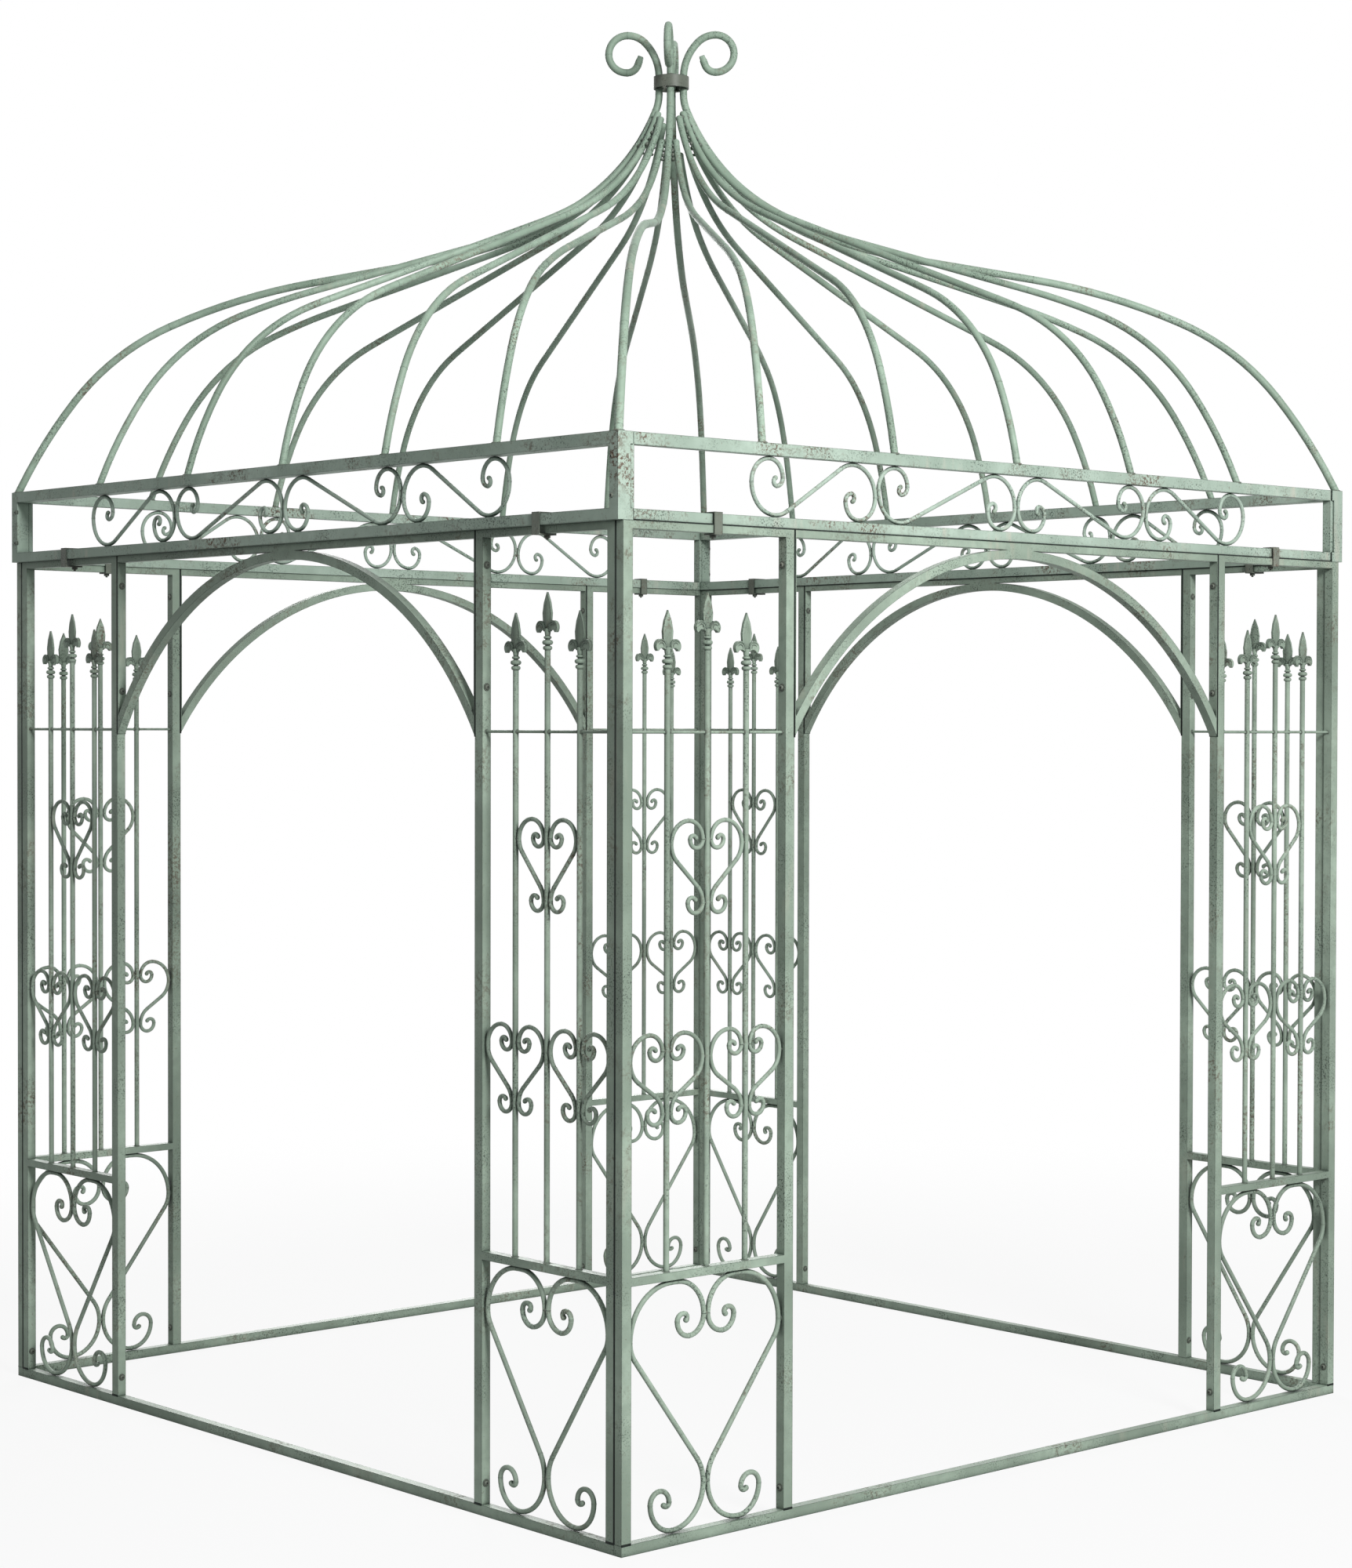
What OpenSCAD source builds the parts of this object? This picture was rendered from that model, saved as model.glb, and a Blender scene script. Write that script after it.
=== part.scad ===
// Square ironwork garden gazebo: four corner bays of scrollwork, an arched doorway in every
// side, a scrolled frieze ring and an ogee dome of bent rods tied by a collar under a crown.
// X runs across the front, Y runs back, Z is up; the origin is the middle of the footprint
// at ground level.

/* [Overall] */
// Width over the wall frames, along X
size_x = 2300; // [2000:20:2760]
// Depth over the wall frames, along Y
size_y = 2300; // [2000:20:2760]
// Height of the wall frames
wall_h = 2027; // [1960:5:2400]
// Rise from the frieze ring to where the ribs stand upright
roof_rise = 973; // [850:5:1170]

/* [Wall frames] */
// Face width of the wall tubes
tube_w = 25; // [20:1:30]
// Depth of the wall tubes
tube_d = 22; // [18:1:28]
// Height of the ground rail
sill_h = 22; // [16:1:30]
// Height of the rail along the top of the wall
head_h = 16; // [12:1:24]
// Width of a scrollwork bay, from the corner to the doorway
panel_w = 464; // [420:4:560]
// Height of the mid rail's underside
mid_z = 528.5; // [500:0.5:640]
// Height of the mid rail itself
mid_h = 17; // [12:1:24]

/* [Rods and spears] */
// Diameter of the upright rods
rod_d = 12; // [10:0.5:14]
// Diameter of the tie rod across the uprights
tie_d = 6; // [5:0.5:8]
// Height of the tie rod
tie_z = 1614; // [1500:1:1680]
// Height where the outer spear heads start
spear_z = 1739; // [1690:1:1770]
// How much higher the middle spear head stands
spear_lead = 39; // [0:1:60]
// Length of a spear head
spear_l = 116; // [90:1:130]
// Spread of a spear head's side leaves
spear_w = 66; // [58:1:70]

/* [Scrollwork] */
// Wire diameter of the small hearts and the frieze scrolls
wire_d = 9; // [7:0.5:10]
// Wire diameter of the big heart
bar_d = 10.5; // [9:0.5:12]
// Height of the upper heart's lobe tops
upper_z = 1442.5; // [1380:0.5:1480]
// Height of the lower hearts' lobe tops
lower_z = 1021.5; // [960:0.5:1060]
// Drop from the lobe tops to the lower weld of the upper heart
upper_drop = 169; // [150:1:200]
// Drop from the lobe tops to the lower weld of the lower hearts
lower_drop = 162.5; // [150:0.5:200]
// Inner lobe radius of the upper heart
upper_lobe_r = 38; // [32:0.5:42]
// Inner lobe radius of the lower hearts
lower_lobe_r = 34; // [28:0.5:38]
// Inner lobe radius of the big heart
big_lobe_r = 72; // [60:1:84]
// Radius of the big heart's foot curls
big_foot_r = 84; // [70:1:90]

/* [Doorway arches] */
// Face width of the arch tube
arch_w = 20; // [16:1:25]
// Rise of the arch from its springing to its crown
arch_rise = 371; // [280:1:440]
// Thickness of the bolting flat at each side of the arch
flat_t = 4; // [3:0.5:6]

/* [Frieze ring] */
// Height of the frieze ring
ring_h = 173; // [150:1:220]
// Height of its top rail
ring_top_h = 25; // [20:1:30]
// Height of its bottom rail
ring_low_h = 23; // [18:1:30]
// How far the left and right frames stand out past the wall
ring_proud = 14; // [0:1:20]
// Depth of the rails of the left and right frames
ring_side_d = 40; // [34:1:50]
// Depth of the corner posts along X
post_d = 33; // [25:1:34]
// Width of the corner posts along Y
post_w = 25; // [20:1:30]
// How far the front and back frames are set in behind the wall face
ring_setback = 3; // [0:0.5:6]
// Length of the frieze scrolls next to the corners
scroll_outer_l = 365; // [320:5:400]
// Length of the frieze scrolls next to the middle
scroll_inner_l = 435; // [380:5:470]
// Distance of the roof straps from the corners
clip_x = 249; // [150:1:300]
// Width of a roof strap
clip_w = 22; // [16:1:30]
// Thickness of a roof strap
clip_t = 3; // [2:0.5:4]

/* [Dome] */
// Diameter of the corner ribs
corner_rib_d = 18; // [15:0.5:20]
// Diameter of the ribs between them
rib_d = 16; // [12:0.5:18]
// Distance of the rib feet in from the ring's outer faces
foot_inset = 12; // [10:0.5:16]
// Lean of the corner ribs at their feet, from upright
foot_lean_corner = 26.5; // [20:0.5:32]
// Lean of the middle ribs at their feet, from upright
foot_lean_mid = 11.2; // [6:0.2:16]
// Steepest lean of the haunch before the long shoulder starts
haunch_lean = 66.5; // [60:0.5:72]
// Radius of the long shoulder
shoulder_r = 1550; // [1300:10:1800]
// Radius of the first bend of the neck
neck_r = 1138; // [900:1:1300]
// Distance of the corner ribs from the middle at the collar
crown_r = 30; // [26:1:40]
// Height of the collar
collar_h = 29; // [20:1:40]
// Wall thickness of the collar
collar_t = 4; // [3:0.5:6]
// Where the middle ribs stop, from the axis
mid_rib_r = 44; // [36:1:60]

/* [Hidden] */
$fn = 40;
arch_fn = 240;

patina = "#8FA99A";
patina_dark = "#7C9487";

// clearances and fixing details
seam = 0.3;        // joint between two frames that are bolted together
weld_gap = 0.5;    // root gap that a weld bridges
weld_d = 5;        // diameter of a weld
end_gap = 0.25;    // how far a bend stops short inside the sleeve at its end
sleeve_l = 2;      // length of the sleeve that joins two bends
sleeve_proud = 0.5; // how much thicker the sleeve is than its rod
sink = 1;          // how far a welded piece runs into the tube that carries it

// heights that follow from the stack
mid_top = mid_z + mid_h;
head_z = wall_h - head_h;
stile_z = sill_h + seam;
ring_z = wall_h + seam;
ring_top = ring_z + ring_h;
foot_z = ring_top + seam;
spring_z = head_z - arch_rise;

// ---- bent rods --------------------------------------------------------------------
// A rod is a chain of bends [radius, sweep]: a positive radius turns left, a negative one
// turns right and [0, length] runs straight. A state is [x, y, heading].

function step(s, b) =
    b[0] == 0
    ? [s.x + b[1] * cos(s.z), s.y + b[1] * sin(s.z), s.z]
    : let (e = s.z + sign(b[0]) * b[1])
      [s.x + b[0] * (sin(e) - sin(s.z)), s.y - b[0] * (cos(e) - cos(s.z)), e];

function after(s, chain, i = 0) = i == len(chain) ? s : after(step(s, chain[i]), chain, i + 1);

// heading and length of the straight that crosses from one bend to a bend the other way;
// side is +1 when the first bend turns left
function cross_heading(c1, r1, c2, r2, side) =
    atan2(c2.y - c1.y, c2.x - c1.x) + side * asin((r1 + r2) / norm(c2 - c1));

function cross_length(c1, r1, c2, r2) = sqrt(pow(norm(c2 - c1), 2) - pow(r1 + r2, 2));

// a rod is [start state, chain, diameter]
function trace(start, chain) =
    [for (i = [0 : len(chain) - 1]) [after(start, [for (k = [0 : 1 : i - 1]) chain[k]]), chain[i]]];

function mirrored(rod) =
    [[-rod[0].x, rod[0].y, 180 - rod[0].z], [for (b = rod[1]) [-b[0], b[1]]], rod[2]];

function both(rods) = concat(rods, [for (r = rods) mirrored(r)]);

function moved(rods, v) = [for (r = rods) [[r[0].x + v.x, r[0].y + v.y, r[0].z], r[1], r[2]]];

// a bend stops short of both its ends, where a short welded sleeve joins it to the next one
module bend(s, b, d) {
    if (b[0] == 0) {
        translate([s.x, s.y, 0])
            rotate([0, 0, s.z])
                translate([end_gap, 0, 0])
                    rotate([0, 90, 0])
                        cylinder(d = d, h = b[1] - 2 * end_gap);
    } else {
        trim = end_gap / abs(b[0]) * 180 / PI;
        first = (b[0] > 0 ? s.z - 90 : s.z + 90 - b[1]) + trim;
        translate([s.x - b[0] * sin(s.z), s.y + b[0] * cos(s.z), 0])
            rotate([0, 0, first])
                rotate_extrude(angle = b[1] - 2 * trim)
                    translate([abs(b[0]), 0])
                        circle(d = d);
    }
}

module sleeve(s, d) {
    translate([s.x, s.y, 0])
        rotate([0, 0, s.z])
            rotate([0, 90, 0])
                cylinder(d = d + sleeve_proud, h = sleeve_l, center = true);
}

// the state at the start of each bend of a chain but the first
function joints(start, chain) = [for (i = [1 : 1 : len(chain) - 1]) trace(start, chain)[i][0]];

module bent_rods(rods) {
    for (r = rods, t = trace(r[0], r[1]))
        bend(t[0], t[1], r[2]);
    for (r = rods, s = joints(r[0], r[1]))
        sleeve(s, r[2]);
}

// a rod drawn in the XY plane stands up in a wall, at depth y
module upright(y = 0) {
    translate([0, y, 0])
        rotate([90, 0, 0])
            children();
}

// a weld or a peg along X, from x0 to x1
module peg_x(x0, x1, y, z, d) {
    translate([x0, y, z])
        rotate([0, 90, 0])
            cylinder(d = d, h = x1 - x0);
}

module weld_x(x0, x1, z) {
    peg_x(x0, x1, tube_d / 2, z, weld_d);
}

module weld_z(x, y, z0, z1) {
    translate([x, y, z0])
        cylinder(d = weld_d, h = z1 - z0);
}

// ---- placing by wall --------------------------------------------------------------
// Each wall is drawn from outside: x runs to the right, y runs inwards.

module on_front() {
    translate([-size_x / 2, -size_y / 2, 0])
        children();
}

module on_back() {
    translate([size_x / 2, size_y / 2, 0])
        rotate([0, 0, 180])
            children();
}

module on_left() {
    translate([-size_x / 2, size_y / 2, 0])
        rotate([0, 0, -90])
            children();
}

module on_right() {
    translate([size_x / 2, -size_y / 2, 0])
        rotate([0, 0, 90])
            children();
}

// ---- hearts -----------------------------------------------------------------------
// half: half of the outer width; gap: half of the space left for the rod between the
// halves; top: height of the lobe tops; low: height of the lower weld; lobe_r: inner lobe
// radius; ridge: straight along the top; hip: radius below the widest point as a share of the
// one above it; neck: radius of the bend into the lower weld.

function side_radius(half, gap, lobe_r, ridge, d) = half - gap - d - lobe_r - ridge;

function heart(half, gap, top, low, lobe_r, ridge, hip, neck, d, curl, foot) =
    let (weld_x0 = gap + d / 2,
         side_r = side_radius(half, gap, lobe_r, ridge, d),
         top_weld = top - lobe_r - d / 2,
         hip_r = hip * side_r,
         hip_c = [half - d / 2 - hip_r, top_weld + lobe_r - side_r],
         neck_c = [weld_x0 + neck, low],
         way = cross_heading(hip_c, hip_r, neck_c, neck, -1),
         run = cross_length(hip_c, hip_r, neck_c, neck),
         side = hip == 1 ? [[-side_r, -way]] : [[-side_r, 90], [-hip_r, -90 - way]],
         crest = ridge == 0 ? [[-lobe_r, 90]] : [[-lobe_r, 90], [0, ridge]],
         outer = concat(crest, side, [[0, run], [neck, -90 - way]], foot))
    both([[[weld_x0, top_weld, 90], outer, d], [[weld_x0, top_weld, -90], curl, d]]);

small_curl = [[17, 180], [8, 150]];
small_foot = [[20, 180], [11, 140]];
small_neck = 44.7;
small_gap = rod_d / 2 + weld_gap;
big_curl = [[40, 90], [31, 90], [15, 120], [7, 110]];
big_foot = [[big_foot_r, 90], [58, 90], [25, 180], [8, 140]];
big_neck = 80;
big_ridge = 16;
big_hip = 0.55;
big_gap = weld_gap / 2;
big_top = mid_z - weld_gap;
big_low = stile_z + bar_d / 2 + weld_gap + big_foot_r;

function small_heart(half, top, drop, lobe_r) =
    heart(half, small_gap, top, top - drop, lobe_r, 0, 1, small_neck, wire_d, small_curl, small_foot);

function big_heart(half) =
    heart(half, big_gap, big_top, big_low, big_lobe_r, big_ridge, big_hip, big_neck,
          bar_d, big_curl, big_foot);

// welds of a heart: across the rod at both ends, and at the widest points on each side
module heart_welds(x, half, gap, top, low, lobe_r, ridge, d) {
    top_weld = top - lobe_r - d / 2;
    wide_z = top_weld + lobe_r - side_radius(half, gap, lobe_r, ridge, d);
    across = gap + d / 2;
    reach = half - d / 2;
    weld_x(x - across - sink, x + across + sink, top_weld);
    weld_x(x - across - sink, x + across + sink, low);
    weld_x(x - half - weld_gap - sink, x - reach, wide_z);
    weld_x(x + reach, x + half + weld_gap + sink, wide_z);
}

// ---- spear heads ------------------------------------------------------------------

blade_w = 27;
blade_t = 5;
leaf_t = 8;

module disc(z, w, h) {
    rotate_extrude() {
        translate([w / 2 - h / 2, z])
            circle(d = h);
        translate([0, z - h / 2])
            square([w / 2 - h / 2, h]);
    }
}

// half of the blade's outline at a breadth of w, from the tip down into the neck
function blade_edge(w) = [[0, 0], [w * 0.11, -7], [w * 0.34, -21], [w / 2, -42], [w * 0.44, -60],
                          [w * 0.15, -80]];

module blade() {
    edge = blade_edge(blade_w);
    upright(blade_t / 2)
        linear_extrude(height = blade_t)
            translate([0, spear_l])
                polygon(concat(edge, [for (i = [len(edge) - 1 : -1 : 1]) [-edge[i].x, edge[i].y]]));
}

// one drooping leaf: a ring segment that leaves the neck and hooks outwards
module leaf() {
    reach = spear_w / 2;
    upright(leaf_t / 2)
        linear_extrude(height = leaf_t)
            difference() {
                translate([reach - 14, spear_l - 71])
                    circle(r = 14);
                translate([reach - 17, spear_l - 86])
                    circle(r = 11);
                translate([reach - 30, spear_l - 100])
                    square([32, 19]);
            }
}

module spear_head(x, z) {
    translate([x, tube_d / 2, z]) {
        blade();
        for (side = [0, 1])
            mirror([side, 0, 0])
                leaf();
        translate([0, 0, spear_l - 89])
            cylinder(d1 = 10, d2 = 15, h = 16);
        disc(spear_l - 91, 16, 6);
        disc(spear_l - 101, 22, 10);
        disc(spear_l - 112, 19, 9);
        translate([0, 0, -sink])
            cylinder(d = 10, h = spear_l - 80);
    }
}

// ---- wall frames ------------------------------------------------------------------

module sill(x0, x1) {
    color(patina)
        translate([x0, 0, 0])
            cube([x1 - x0, tube_d, sill_h]);
}

// a scrollwork bay of width w, starting at x0
module bay(x0, w) {
    clear_w = w - 2 * tube_w;
    rod_gap = (clear_w - rod_d) / 2;
    pitch = rod_d / 2 + rod_gap / 2;
    half_lower = rod_gap / 2 - weld_gap;
    half_upper = pitch - rod_d / 2 - weld_gap;
    half_big = clear_w / 2 - weld_gap;
    middle = x0 + w / 2;
    color(patina) {
        for (x = [x0, x0 + w - tube_w])
            translate([x, 0, stile_z])
                cube([tube_w, tube_d, wall_h - stile_z]);
        translate([x0 + tube_w - sink, 0, head_z])
            cube([clear_w + 2 * sink, tube_d, head_h]);
        translate([x0 + tube_w - sink, 0, mid_z])
            cube([clear_w + 2 * sink, tube_d, mid_h]);
        peg_x(x0 + tube_w - sink, x0 + w - tube_w + sink, tube_d / 2, tie_z, tie_d);
        for (k = [-1, 0, 1]) {
            base = spear_z + (k == 0 ? spear_lead : 0);
            translate([middle + k * pitch, tube_d / 2, mid_top - sink])
                cylinder(d = rod_d, h = base - mid_top + sink);
            spear_head(middle + k * pitch, base);
        }
        upright(tube_d / 2)
            bent_rods(concat(
                moved(small_heart(half_upper, upper_z, upper_drop, upper_lobe_r), [middle, 0]),
                moved(small_heart(half_lower, lower_z, lower_drop, lower_lobe_r), [middle - pitch, 0]),
                moved(small_heart(half_lower, lower_z, lower_drop, lower_lobe_r), [middle + pitch, 0]),
                moved(big_heart(half_big), [middle, 0])));
        heart_welds(middle, half_upper, small_gap, upper_z, upper_z - upper_drop, upper_lobe_r, 0,
                    wire_d);
        for (side = [-1, 1]) {
            heart_welds(middle + side * pitch, half_lower, small_gap, lower_z, lower_z - lower_drop,
                        lower_lobe_r, 0, wire_d);
            weld_z(middle + side * (big_gap + bar_d / 2 + big_lobe_r), tube_d / 2,
                   big_top - bar_d / 2, mid_z + sink);
        }
        heart_welds(middle, half_big, big_gap, big_top, big_low, big_lobe_r, big_ridge, bar_d);
    }
}

// the arch, its flats and the head rail over a doorway from x0 to x1
module arch(x0, x1) {
    span = x1 - x0 - 2 * seam;
    arch_r = (span * span / 4 + arch_rise * arch_rise) / (2 * arch_rise);
    middle = (x0 + x1) / 2;
    left = x0 + seam;
    color(patina) {
        translate([left, 0, head_z])
            cube([span, tube_d, head_h]);
        for (x = [left, left + span - flat_t])
            translate([x, 0, spring_z])
                cube([flat_t, tube_d, arch_rise + sink]);
        intersection() {
            translate([middle, tube_d, head_z + sink - arch_r])
                rotate([90, 0, 0])
                    linear_extrude(height = tube_d)
                        difference() {
                            circle(r = arch_r, $fn = arch_fn);
                            circle(r = arch_r - arch_w, $fn = arch_fn);
                        }
            translate([left, -sink, spring_z - 2 * arch_w])
                cube([span, tube_d + 2 * sink, arch_rise + 2 * arch_w + 2 * sink]);
        }
    }
}

// ---- frieze ring ------------------------------------------------------------------

scroll_clear = ring_h - ring_top_h - ring_low_h;

scroll_h = scroll_clear - wire_d - 2 * weld_gap;
scroll_bow = 0.57 * scroll_h;

// an S-scroll of length l that fills the height between two rails, centred on the origin
function s_scroll(l) =
    let (bow_x = l / 2 - wire_d / 2 - scroll_bow,
         c1 = [-bow_x, scroll_bow - scroll_h / 2],
         c2 = -c1,
         way = cross_heading(c1, scroll_bow, c2, scroll_bow, 1),
         run = cross_length(c1, scroll_bow, c2, scroll_bow),
         tip = run / 2 * [cos(way), sin(way)],
         loop = [[-scroll_bow, way + 90], [-(scroll_h - scroll_bow), 90], [-38, 90], [-17, 90],
                 [-8.5, 150]])
    [[[-tip.x, -tip.y, way], concat([[0, run]], loop), wire_d],
     [[-tip.x, -tip.y, way + 180], loop, wire_d]];

// four scrolls between the rails, mirrored about the middle, with their welds
module scroll_row(middle, y) {
    z0 = ring_z + ring_low_h;
    z = z0 + scroll_clear / 2;
    inner_x = scroll_inner_l / 2;
    outer_x = scroll_inner_l + scroll_outer_l / 2;
    pair = concat(moved(s_scroll(scroll_inner_l - weld_gap), [-inner_x, 0]),
                  moved(s_scroll(scroll_outer_l - weld_gap), [-outer_x, 0]));
    translate([middle, y, z])
        upright()
            bent_rods(both(pair));
    drop = scroll_bow - scroll_h / 2;
    for (at = [[0, -drop], [-scroll_inner_l, -drop], [-scroll_inner_l, drop],
               [scroll_inner_l, -drop], [scroll_inner_l, drop]])
        peg_x(middle + at.x - wire_d / 2, middle + at.x + wire_d / 2, y, z + at.y, weld_d);
    for (side = [-1, 1], s = [[inner_x, scroll_inner_l], [outer_x, scroll_outer_l]]) {
        reach = s[1] / 2 - wire_d / 2 - weld_gap / 2 - scroll_bow;
        low_x = middle + side * (s[0] + reach);
        high_x = middle + side * (s[0] - reach);
        weld_z(low_x, y, z0 - sink, z0 + weld_gap + wire_d / 2);
        weld_z(high_x, y, z0 + scroll_clear - weld_gap - wire_d / 2, z0 + scroll_clear + sink);
    }
}

// the left and right frames carry the corner posts and run the full depth
module side_fascia() {
    color(patina) {
        translate([0, -ring_proud, ring_z])
            cube([size_y, ring_side_d, ring_low_h]);
        translate([0, -ring_proud, ring_top - ring_top_h])
            cube([size_y, ring_side_d, ring_top_h]);
        for (x = [0, size_y - post_w])
            translate([x, -ring_proud, ring_z + ring_low_h - sink])
                cube([post_w, post_d, scroll_clear + 2 * sink]);
        scroll_row(size_y / 2, post_d / 2 - ring_proud);
    }
}

// the front and back frames fit between them and bolt to the posts
module end_fascia() {
    x0 = ring_side_d - ring_proud + seam;
    flat_x = post_d - ring_proud + seam;
    l = size_x - 2 * x0;
    color(patina) {
        translate([x0, ring_setback, ring_z])
            cube([l, tube_d, ring_low_h]);
        translate([x0, ring_setback, ring_top - ring_top_h])
            cube([l, tube_d, ring_top_h]);
        for (side = [0, 1])
            translate([side * size_x, 0, 0])
                mirror([side, 0, 0])
                    translate([flat_x, ring_setback, ring_z + ring_low_h + seam])
                        cube([x0 - flat_x + flat_t, tube_d, scroll_clear - 2 * seam]);
        for (side = [0, 1])
            translate([side * size_x, 0, 0])
                mirror([side, 0, 0])
                    translate([x0, ring_setback, ring_z + ring_low_h - sink])
                        cube([flat_t, tube_d, scroll_clear + 2 * sink]);
        scroll_row(size_x / 2, ring_setback + tube_d / 2);
    }
}

// a strap that ties the ring's bottom rail to the head rail, from depth y0 to y1
module clip(x, y0, y1) {
    z0 = head_z - seam;
    z1 = ring_z + ring_low_h + seam;
    color(patina_dark)
        translate([x - clip_w / 2, 0, 0])
            difference() {
                translate([0, y0 - clip_t - seam, z0 - clip_t])
                    cube([clip_w, y1 - y0 + 2 * clip_t + 2 * seam, z1 - z0 + 2 * clip_t]);
                translate([-sink, y0 - seam, z0])
                    cube([clip_w + 2 * sink, y1 - y0 + 2 * seam, z1 - z0]);
            }
}

module end_clips() {
    for (x = [clip_x, size_x - clip_x])
        clip(x, 0, max(tube_d, ring_setback + tube_d));
}

module side_clips() {
    for (x = [clip_x, size_y - clip_x])
        clip(x, -ring_proud, max(tube_d, ring_side_d - ring_proud));
}

// ---- dome -------------------------------------------------------------------------
// A rib lies in the upright plane through its foot and the axis. Lean is measured inwards
// from upright, so heading = 90 + lean. The bends above the shoulder are shared by all ribs.

haunch_ratio = 0.38;     // haunch radius over the reach of the rib's foot
foot_ratio = 2.03;       // radius of the first bend over the haunch radius
foot_sweep = 11.7;       // sweep of the first bend
neck_lean = 64.9;        // lean where the neck tightens
throat_r = 522;          // radius of the neck's second bend
throat_lean = 22.2;      // lean where it tightens again
collar_bend_r = 105;     // last bend, into the upright
toe_l = 12;              // straight length above the foot, long enough for its level cut
slack = 1.5;             // least bend that the shoulder and the neck keep
crown_z = ring_top + roof_rise;

function leaning(l) = [cos(l), sin(l)];

throat_c = [crown_r + collar_bend_r - (collar_bend_r - throat_r) * cos(throat_lean),
            crown_z - (collar_bend_r - throat_r) * sin(throat_lean)];

function neck_start(l) = throat_c - throat_r * leaning(l);

// where the straight toe ends and the bends start
function toe_end(reach, l) = [reach - toe_l * sin(l), foot_z + toe_l * cos(l), 90 + l];

// the chain of the lower bends up to a lean of l
function haunch(reach, foot_lean, l) =
    let (r = haunch_ratio * reach)
    [[foot_ratio * r, foot_sweep], [r, l - foot_lean - foot_sweep]];

function chord_lean(reach, foot_lean) =
    let (a = after(toe_end(reach, foot_lean), haunch(reach, foot_lean, haunch_lean)),
         b = neck_start(neck_lean))
    atan2(a.x - b.x, b.y - a.y);

// the whole chain from the foot to a radius of r_end at the neck, or to the upright
function rib_chain(reach, foot_lean, r_end) =
    let (chord = chord_lean(reach, foot_lean),
         l1 = min(haunch_lean, chord - slack),
         l2 = min(neck_lean, chord - slack),
         low = haunch(reach, foot_lean, l1),
         a = after(toe_end(reach, foot_lean), low),
         c1 = [a.x, a.y] - shoulder_r * leaning(l1),
         c2 = neck_start(l2) + neck_r * leaning(l2),
         way = cross_heading(c1, shoulder_r, c2, neck_r, 1) - 90,
         run = cross_length(c1, shoulder_r, c2, neck_r),
         bend_x = throat_c.x - throat_r * cos(throat_lean),
         l3 = r_end > bend_x ? acos((throat_c.x - r_end) / throat_r) : throat_lean,
         l4 = acos(min(1, 1 - (r_end - crown_r) / collar_bend_r)))
    concat(low, [[shoulder_r, way - l1], [0, run], [-neck_r, way - l2], [-throat_r, l2 - l3]],
           r_end > bend_x ? [] : [[-collar_bend_r, throat_lean - l4]]);

collar_z = crown_z + 13;
collar_top = collar_z + collar_h;
crown_scroll = [[-120, 45], [-60, 45], [-46, 90], [-45, 90], [-28, 70], [0, 12]];

foot_x = size_x / 2 + ring_proud - foot_inset;
foot_y = size_y / 2 - foot_inset;

// how far from the axis two ribs of diameters d1 and d2, turned a apart, meet
function meeting_r(d1, d2, a) = (d1 + d2 + 2 * seam) / (4 * sin(a / 2));

// the straight toe of a rib, cut level where it stands on the ring
module toe(foot, foot_lean, d) {
    rotate([0, 0, atan2(foot.y, foot.x)])
        translate([norm(foot), 0, foot_z])
            difference() {
                rotate([0, -foot_lean, 0])
                    translate([0, 0, -d])
                        cylinder(d = d, h = d + toe_l - end_gap);
                translate([-d, -d, -2 * d])
                    cube([3 * d, 2 * d, 2 * d]);
            }
}

// ribs: a list of [foot, lean at the foot, bends, diameter]
module rib_set(ribs) {
    for (r = ribs)
        toe(r[0], r[1], r[3]);
    for (r = ribs, t = trace(toe_end(norm(r[0]), r[1]), r[2]))
        rotate([0, 0, atan2(r[0].y, r[0].x)])
            upright() {
                bend(t[0], t[1], r[3]);
                sleeve(t[0], r[3]);
            }
}

module corner_rib(sx, sy) {
    foot = [sx * foot_x, sy * foot_y];
    bends = concat(rib_chain(norm(foot), foot_lean_corner, crown_r),
                   [[0, collar_top - crown_z]], crown_scroll);
    color(patina)
        rib_set([[foot, foot_lean_corner, bends, corner_rib_d]]);
}

// the five ribs of one side; along = half length of the side, out = its distance
module side_ribs(along, out) {
    corner_a = atan2(along, out);
    outer_a = atan2(along * 2 / 3, out);
    inner_a = atan2(along / 3, out);
    ends = [mid_rib_r, meeting_r(rib_d, rib_d, inner_a), meeting_r(corner_rib_d, rib_d, corner_a - outer_a)];
    color(patina)
        rib_set([for (k = [-2 : 2])
            let (foot = [out, along * k / 3],
                 lean = foot_lean_mid + (foot_lean_corner - foot_lean_mid) * pow(abs(k) / 3, 1.3))
            [foot, lean, rib_chain(norm(foot), lean, ends[abs(k)]), rib_d]]);
}

module crown_collar() {
    inner = crown_r + corner_rib_d / 2 + seam;
    color(patina_dark)
        translate([0, 0, collar_z])
            linear_extrude(height = collar_h)
                difference() {
                    circle(r = inner + collar_t);
                    circle(r = inner);
                }
}

// ---- nodes ------------------------------------------------------------------------

far_x = size_x - panel_w;
far_y = size_y - panel_w;
butt = tube_d + seam;

module front_sill() { on_front() sill(0, size_x); }
module back_sill() { on_back() sill(0, size_x); }
module left_sill() { on_left() sill(butt, size_y - butt); }
module right_sill() { on_right() sill(butt, size_y - butt); }

module front_left_panel() { on_front() bay(0, panel_w); }
module front_right_panel() { on_front() bay(far_x, panel_w); }
module back_right_panel() { on_back() bay(0, panel_w); }
module back_left_panel() { on_back() bay(far_x, panel_w); }
module left_back_panel() { on_left() bay(butt, panel_w - butt); }
module left_front_panel() { on_left() bay(far_y, panel_w - butt); }
module right_front_panel() { on_right() bay(butt, panel_w - butt); }
module right_back_panel() { on_right() bay(far_y, panel_w - butt); }

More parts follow.
